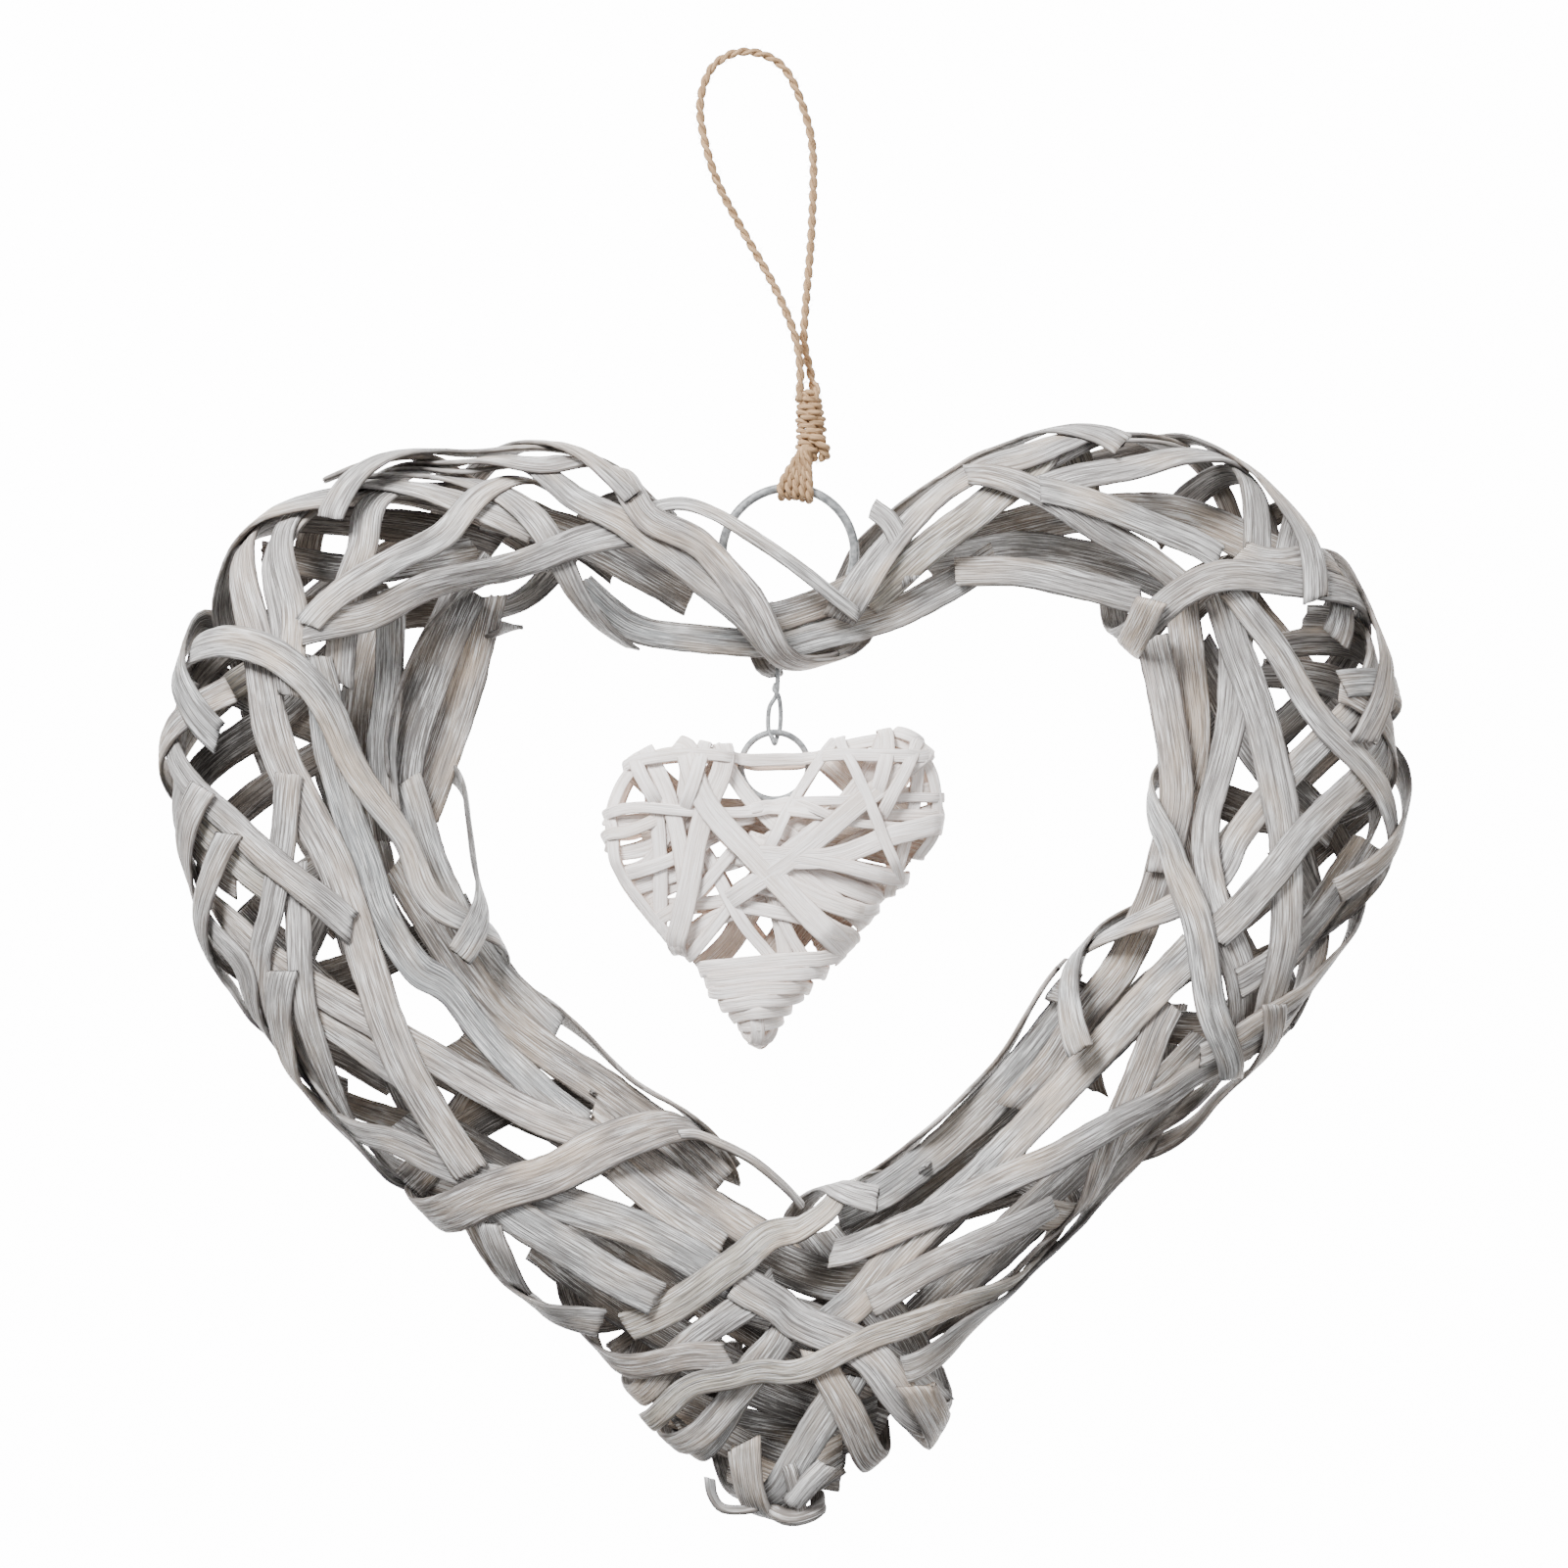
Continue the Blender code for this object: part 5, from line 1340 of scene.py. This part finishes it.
# Each strip: its name, width and the places it passes on the front.
SMALL_STRIPS = (
    ("under left", 3.2, ((-33.9, 45.9), (-24.7, 46.5), (-17.1, 45.9), (-4.3, 48.0))),
    ("left fan one", 2.6, ((-33.9, 39.8), (-25.2, 41.4), (-18.6, 45.9), (-11.5, 58.7))),
    ("left fan two", 2.4, ((-31.3, 35.8), (-24.7, 39.3), (-18.6, 51.0), (-17.6, 61.7))),
    ("left low", 2.2, ((-27.3, 30.1), (-19.6, 33.7), (-11.5, 36.8))),
    ("left cross", 2.7, ((-29.0, 32.9), (-17.1, 36.8), (-6.9, 38.8), (5.9, 46.5), (33.4, 53.6))),
    ("left lower", 2.4, ((-25.2, 26.6), (-23.2, 29.6), (-13.5, 30.1), (-4.3, 31.7))),
    ("low cross", 3.2, ((-21.1, 20.5), (-11.5, 27.1), (0.3, 31.2), (16.1, 41.9), (33.4, 49.0))),
    ("low rise", 2.3, ((-18.1, 17.9), (-11.5, 26.1), (-4.3, 35.2), (3.8, 41.9))),
    ("middle fall", 3.0, ((-4.3, 41.9), (0.3, 30.7), (2.3, 19.4), (0.8, 15.4))),
    ("middle fall two", 2.2, ((-1.3, 39.8), (1.8, 27.1), (5.9, 19.4), (8.9, 16.4))),
    ("middle slant", 2.3, ((-13.5, 39.8), (-6.9, 27.1), (-1.3, 20.0), (2.8, 15.4))),
    ("cleft left", 3.0, ((-11.5, 61.2), (-9.4, 57.2), (-3.3, 49.0), (5.9, 41.9), (21.1, 31.7))),
    ("left upright", 2.7, ((-25.2, 60.7), (-24.2, 52.6), (-23.2, 41.9), (-22.4, 23.0))),
    ("fan one", 3.2, ((-3.5, 42.5), (12.0, 37.8), (29.0, 34.5))),
    ("fan two", 3.2, ((-3.0, 42.0), (11.0, 35.0), (26.0, 29.5))),
    ("fan three", 3.2, ((-2.5, 41.0), (9.0, 33.0), (22.0, 23.5))),
    ("left low two", 2.4, ((-33.0, 35.5), (-22.0, 38.5), (-12.0, 43.5))),
    ("left low three", 2.4, ((-28.0, 24.5), (-17.0, 31.0), (-8.0, 41.0))),
    ("right low two", 2.6, ((24.0, 27.5), (12.0, 30.5), (-4.0, 33.5))),
    ("right low three", 2.6, ((20.0, 21.0), (8.0, 26.5), (-6.0, 29.5))),
    ("left rim", 2.4, ((-32.6, 41.0), (-32.5, 49.0), (-29.8, 55.5), (-24.0, 59.6), (-15.0, 60.4))),
    ("left rim low", 2.4, ((-32.4, 47.0), (-31.0, 38.0), (-25.6, 30.0), (-18.0, 20.6))),
    ("right rim", 2.4,
     ((13.0, 61.6), (23.0, 63.2), (29.5, 60.6), (32.4, 54.0), (32.6, 45.0), (29.0, 39.0))),
    ("left lobe cap", 3.0, ((-27.0, 63.0), (-22.0, 53.0), (-19.0, 42.0), (-17.5, 30.0))),
    ("right lobe cap", 3.0, ((24.0, 67.0), (20.0, 58.0), (12.0, 48.0), (2.0, 40.0))),
    ("right lobe low", 2.4, ((28.5, 66.0), (29.0, 55.0), (27.0, 44.0), (21.0, 27.0))),
    ("waist", 2.0, ((-34.4, 48.0), (-27.3, 49.5), (-15.5, 48.7), (4.3, 48.0), (17.6, 48.0), (34.4, 48.0))),
    ("waist two", 1.6, ((-4.3, 49.0), (4.8, 50.0), (16.1, 46.5), (31.3, 45.4), (34.4, 44.9))),
    ("waist three", 1.8, ((-4.8, 48.5), (5.9, 50.0), (20.1, 51.5), (33.9, 51.5))),
    ("right broad", 3.2, ((1.8, 34.7), (9.9, 30.7), (20.6, 27.6))),
    ("right low broad", 3.4, ((-1.3, 37.8), (8.4, 27.1), (16.6, 23.0))),
    ("right rise", 3.7, ((-7.4, 31.7), (5.9, 40.8), (18.1, 51.0), (30.8, 60.7))),
    ("right fan", 3.8, ((-4.3, 39.8), (11.0, 39.3), (23.7, 43.9), (34.4, 47.0))),
    ("right fan low", 2.5, ((-4.3, 40.3), (-0.3, 39.8), (11.0, 38.3), (26.2, 35.2))),
    ("left slant", 3.8, ((-9.9, 61.7), (-11.5, 55.1), (-15.0, 44.9), (-19.6, 20.0))),
    ("main", 4.3, ((-18.1, 61.2), (-13.5, 50.0), (-4.3, 39.8), (4.3, 30.7), (14.0, 21.0))),
    ("cleft right", 2.2, ((13.5, 63.3), (7.9, 55.1), (-0.8, 41.4))),
    ("right slant", 2.0, ((13.0, 63.3), (18.6, 52.6), (24.5, 37.3), (25.2, 33.7))),
    ("top", 2.3, ((-29.8, 57.7), (-18.1, 59.4), (-7.4, 59.1), (5.9, 59.4), (11.0, 59.4), (32.4, 59.4))),
    ("lobe right", 2.6, ((14.0, 63.3), (23.7, 64.3), (31.3, 61.2))),
    ("tip one", 3.0, ((-17.6, 16.4), (-4.3, 17.7), (14.0, 20.2))),
    ("tip two", 2.6, ((-15.5, 14.1), (-4.3, 15.1), (8.9, 16.9))),
    ("tip three", 2.4, ((-14.0, 11.8), (-4.3, 12.8), (5.4, 13.8))),
    ("tip four", 2.4, ((-11.7, 9.3), (-4.3, 10.5), (4.8, 11.3))),
    ("tip five", 2.2, ((-9.9, 6.7), (-4.3, 8.2), (3.3, 9.0))),
    ("tip cap", 2.6, ((-3.3, 7.5), (-3.1, 4.0), (-3.0, 0.6))),
    ("tip six", 2.2, ((-8.2, 4.2), (-4.3, 5.7), (2.5, 6.5))),
    ("tip seven", 2.2, ((-5.8, 2.8), (-3.0, 3.4), (0.0, 4.2))),
    ("left top one", 2.6, ((-28.5, 62.0), (-27.0, 57.0), (-24.0, 51.0))),
    ("left top three", 2.4, ((-14.0, 63.5), (-15.0, 58.0), (-17.5, 51.0))),
    ("right top two", 2.8, ((22.5, 66.5), (23.0, 60.0), (21.0, 53.0))),
    ("right top three", 2.4, ((29.5, 65.0), (26.5, 57.0), (23.0, 50.0))),
    ("left side one", 2.2, ((-36.0, 44.0), (-30.0, 44.5), (-24.0, 47.0))),
)
rim = smooth_line(np.array(SMALL_OUTLINE, float), 6, closed=True)
rim_step = np.roll(rim, -1, 0) - rim
rim_out = unit(np.stack([-rim_step[:, 1], rim_step[:, 0]], axis=1))
if (rim_out[:8] @ np.array([0.0, -1.0])).mean() > 0:
    rim_out = -rim_out


def nearest_rim(spots):
    """For each place: the rim's nearest point, how far off it is, and how far inside it."""
    gap = np.linalg.norm(spots[:, None, :] - rim[None, :, :], axis=-1)
    near = gap.argmin(axis=1)
    return near, gap.min(axis=1), -((spots - rim[near]) * rim_out[near]).sum(axis=1)


def inside_rim(spots):
    """How far each place lies inside the rim, in millimetres; outside it is nothing."""
    _, gap, inset = nearest_rim(spots)
    return (inset > 0) * gap


def cushion(spots):
    """Half depth: inside the rim it grows as an ellipse does, outside it is nothing."""
    inset = np.clip(inside_rim(spots) / SMALL_RIM, 0.0, 1.0)
    return SMALL_HALF_DEPTH * np.sqrt(np.clip(1.0 - (1.0 - inset) ** 2, 0.0, 1.0))


def within_rim(line):
    """The stretch of a line inside the rim; an end near the rim is carried on to it."""
    near, gap, inset = nearest_rim(line)
    at_rim = rim[near] - rim_out[near] * SMALL_EDGE
    kept = np.flatnonzero(inset > SMALL_EDGE)
    if len(kept) < SMALL_FEWEST:
        return even_line(at_rim, min(SMALL_STEP, run_of(at_rim)[-1] / SMALL_FEWEST))
    first, last = kept[0], kept[-1]
    ends = [at_rim[k] if gap[k] < SMALL_REACH else line[k] for k in (first, last)]
    return np.concatenate([ends[0][None, :], line[first + 1:last], ends[1][None, :]])


print("small heart's rim is", round(float(run_of(rim)[-1])), "mm round")

# %% Wind one strip of the small heart
small_height = np.zeros((2, MAP_CELLS, MAP_CELLS))


def small_cells(spots):
    """Cells of the height map: half a millimetre each, one map for each face."""
    i = np.clip(np.round(spots[..., 0] * MAP_FINE + MAP_START[0]).astype(int), 0, MAP_CELLS - 1)
    j = np.clip(np.round(spots[..., 2] * MAP_FINE + MAP_START[1]).astype(int), 0, MAP_CELLS - 1)
    return (spots[..., 1] > 0).astype(int), i, j


def small_turn(places, width, shift, rng):
    """Centre line, side and normal of one turn: front, rim, back and a lap at the end."""
    front = within_rim(even_line(smooth_line(np.array(places, float), 12), SMALL_STEP))
    back = front[::-1] + np.array(shift) * np.sin(np.linspace(0, math.pi, len(front)))[:, None]
    path, side = [], []
    for line, face in ((front, -1.0), (back[1:-1], 1.0)):
        way = unit(np.gradient(line, axis=0))
        flat = np.stack([-way[:, 1], way[:, 0]], axis=1) * face
        depth = np.maximum(cushion(line), SMALL_LEAST)
        tilt = cushion(line + flat) - cushion(line - flat)
        path.append(np.stack([line[:, 0], face * depth, line[:, 1]], axis=1))
        side.append(np.stack([flat[:, 0], face * tilt / 2, flat[:, 1]], axis=1))
    path[0][[0, -1], 1] = 0.0
    path, side = np.concatenate(path), np.concatenate(side)
    start = len(path) // 2 + rng.integers(len(path) // 8, len(path) // 3)
    path, side = np.roll(path, -start, axis=0), np.roll(side, -start, axis=0)
    path, side = np.concatenate([path, path[:SMALL_LAP]]), np.concatenate([side, side[:SMALL_LAP]])
    run = run_of(path)
    marks = np.arange(0.0, run[-1], SMALL_STEP)
    path = blur(np.stack([np.interp(marks, run, path[:, k]) for k in range(3)], axis=1), 1)
    side = blur(np.stack([np.interp(marks, run, side[:, k]) for k in range(3)], axis=1), 2)
    heading = unit(np.gradient(path, axis=0))
    normal = unit(np.cross(heading, side))
    if (normal[:, 1] * path[:, 1]).sum() < 0:
        normal = -normal
    side = np.cross(normal, heading)
    spot = path[:, None, :] + side[:, None, :] * (SMALL_LANES * width)[None, :, None]
    m, i, j = small_cells(spot)
    piled = np.minimum(small_height[m, i, j].max(axis=1), SMALL_PILE)
    room = SMALL_RIM_PILE + SMALL_RIM_RISE * inside_rim(path[:, [0, 2]])
    lift = np.minimum(eased(run_of(path), piled + SMALL_CLEAR, SMALL_SLOPE), room)
    top = np.broadcast_to(lift[:, None] + SMALL_THICK, spot.shape[:2])
    for shift_i in (0, 1):
        for shift_j in (0, 1):
            beside = (np.minimum(i + shift_i, MAP_CELLS - 1), np.minimum(j + shift_j, MAP_CELLS - 1))
            np.maximum.at(small_height, (m, *beside), top)
    return path + normal * (lift[:, None] + SMALL_THICK / 2), side, normal


print("height map of the small heart has", small_height.size, "cells")

# %% Strips of the small heart
SMALL_RNG_SEED = 23
SMALL_INNER_SEED = 500
SMALL_STRIP_SEED = 400
SMALL_WIDEN = 1.14
SMALL_SHIFT = 0.7
SMALL_CROWN = 0.08
WHITE_SPREAD = (0.90, 1.02)
WHITE_WARM_SPREAD = (0.1, 0.7)
INNER_WARMTH = 0.6
INNER_STEP = 1.2
INNER_LAYER = 0.5
WHITE_TONE = np.array([0.985, 0.93, 0.91])
# The beige of the strips inside the small heart is painted shade, as seen between the white wraps.
BEIGE_SHADE_TONE = np.array([0.56, 0.47, 0.40])
# Each strip inside: its width and the places it passes.
SMALL_INNER = (
    (7.0, ((-28, 58), (-20, 51), (-12, 46))),
    (8.0, ((12, 60), (20, 53), (28, 46))),
    (5.0, ((-15, 16), (-9, 22), (-3, 32))),
    (8.0, ((0, 19), (6, 27), (14, 38))),
    (8.0, ((2, 45), (15, 44), (29, 40))),
    (7.0, ((-27, 45), (-14, 48), (2, 46))),
    (5.0, ((-29, 32), (-22, 36), (-17, 44))),
    (6.0, ((8, 22), (16, 29), (22, 34))),
    (3.5, ((-3, 9), (-3, 5), (-3, 1.5))),
)
small_rng = np.random.default_rng(SMALL_RNG_SEED)


def white_strip(name, centre, side, normal, width, seed, tone, warmth, crown=CROWN):
    """A white-washed strip of the small heart."""
    piece = put_strip("small_" + name, centre, side, normal, width, SMALL_THICK, seed, WHITE_WILLOW,
                      tone, warmth, crown)


for number, (width, places) in enumerate(SMALL_INNER):
    flat_way = even_line(smooth_line(np.array(places, float), 12), INNER_STEP) + np.array(SMALL_CENTRE)
    centre = np.insert(flat_way, 1, INNER_LAYER + INNER_LAYER * (number % 3), axis=1)
    normal = np.tile([0.0, -1.0, 0.0], (len(centre), 1))
    side = np.cross(normal, unit(np.gradient(centre, axis=0)))
    white_strip(f"inner_{number}", centre, side, normal, width, SMALL_INNER_SEED + number,
                BEIGE_SHADE_TONE, INNER_WARMTH)
for number, (name, narrow, places) in enumerate(SMALL_STRIPS):
    width = narrow * SMALL_WIDEN
    shift = small_rng.normal(0.0, SMALL_SHIFT, 2)
    centre, side, normal = small_turn(places, width, shift, small_rng)
    centre = centre + np.array([SMALL_CENTRE[0], 0.0, SMALL_CENTRE[1]])
    tone = WHITE_TONE * small_rng.uniform(*WHITE_SPREAD)
    warmth = small_rng.uniform(*WHITE_WARM_SPREAD)
    white_strip(name.replace(" ", "_"), centre, side, normal, width, SMALL_STRIP_SEED + number,
                tone, warmth, SMALL_CROWN)
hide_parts("small_heart")

# %% [markdown]
# The rings and the hanger are galvanised wire: dull grey with pale and dark patches, a
# little rough. The rings are butted and welded closed, and the hanger is one wire,
# twisted above, that comes down as a long doubled loop round the small ring.

# %% Zinc wire
ZINC_CELLS = 900.0
ZINC_RANGE = (0.35, 0.66)
ZINC_DARK = (0.15, 0.155, 0.16)
ZINC_PALE = (0.33, 0.34, 0.345)
ZINC_ROUGHNESS = (0.42, 0.62)


def zinc_material():
    """Galvanised steel: clouds of light and dark grey, rougher where it is pale."""
    material, tree, shader = plain_material("zinc_wire")
    place = tree.nodes.new("ShaderNodeTexCoord")
    source = add_node(tree, "ShaderNodeTexNoise", Scale=ZINC_CELLS, Detail=4.0)
    tree.links.new(place.outputs["Object"], source.inputs["Vector"])
    clouds = source.outputs["Fac"]
    body = mix_colour(tree, remap(tree, clouds, *ZINC_RANGE), ZINC_DARK, ZINC_PALE)
    tree.links.new(body, shader.inputs["Base Color"])
    tree.links.new(remap(tree, clouds, *ZINC_RANGE, *ZINC_ROUGHNESS), shader.inputs["Roughness"])
    shader.inputs["Metallic"].default_value = 0.2
    shader.inputs["Specular IOR Level"].default_value = 0.08
    raise_relief(tree, clouds, shader, 0.3, 0.0002)
    return material


ZINC = zinc_material()
print("zinc ready")

# %% Rings
# Each ring: its name, CAD node, outer diameter, wire, centre and points along it.
RINGS = (
    ("big_ring", "large_ring", 28.8, 1.9, (0.0, 197.0), 160),
    ("little_ring", "small_ring", 15.0, 1.3, (-2.8, 153.6), 120),
)
RING_SIDES = 16
RING_WAVER = 0.006
RING_WAVER_START = 0.6


def wire_ring(name, node, diameter, wire, place, rounds):
    """A ring: its path is a circle, a little out of true, and its wire is round."""
    swing = np.linspace(0.0, 2 * math.pi, rounds, endpoint=False)
    radius = (diameter - wire) / 2 * (1 + RING_WAVER * np.sin(2 * swing + RING_WAVER_START))
    across, up = place[0] + radius * np.cos(swing), place[1] + radius * np.sin(swing)
    path = to_world(np.stack([across, 0 * swing, up], axis=1))
    spots = tube_points(path, wire / 2 * MM, RING_SIDES, True)
    item = put_mesh(name, spots, grid_faces(rounds, RING_SIDES, True), ZINC)
    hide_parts(node)


for ring in RINGS:
    wire_ring(*ring)
print(len(RINGS), "rings set")

# %% Hanger
HANGER_WIRE = 0.95
HANGER_SIDES = 10
HANGER_STEP = 0.3
HANGER_WAYS = (
    ((-2.4, 0.4, 181.0), (-2.2, 0.0, 176.5), (-2.2, 0.0, 171.0), (-2.5, 0.1, 168.0), (-3.9, 0.0, 165.4),
     (-4.1, 0.0, 161.2), (-3.3, -0.9, 159.2), (-2.9, -1.7, 158.2), (-2.6, 0.0, 158.4), (-2.3, 1.2, 159.6),
     (-1.7, 0.3, 161.4), (-1.6, 0.0, 165.0), (-2.0, -0.8, 167.8), (-2.9, -0.5, 169.2), (-2.6, 0.9, 170.3)),
    ((-2.4, 0.4, 181.0), (-1.9, 0.9, 183.5), (-2.9, 0.6, 185.5), (-3.6, 0.0, 187.0)),
)
hanger_parts = []
for way in HANGER_WAYS:
    path = to_world(even_line(smooth_line(np.array(way), 12), HANGER_STEP))
    spots = tube_points(path, HANGER_WIRE / 2 * MM, HANGER_SIDES)
    hanger_parts.append((spots, grid_faces(len(path), HANGER_SIDES)))
points, faces = joined(hanger_parts)
hanger = put_mesh("doubled_hanger", points, faces, ZINC)
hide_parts("hanger_wire")
print("hanger has", len(hanger_parts), "wires")
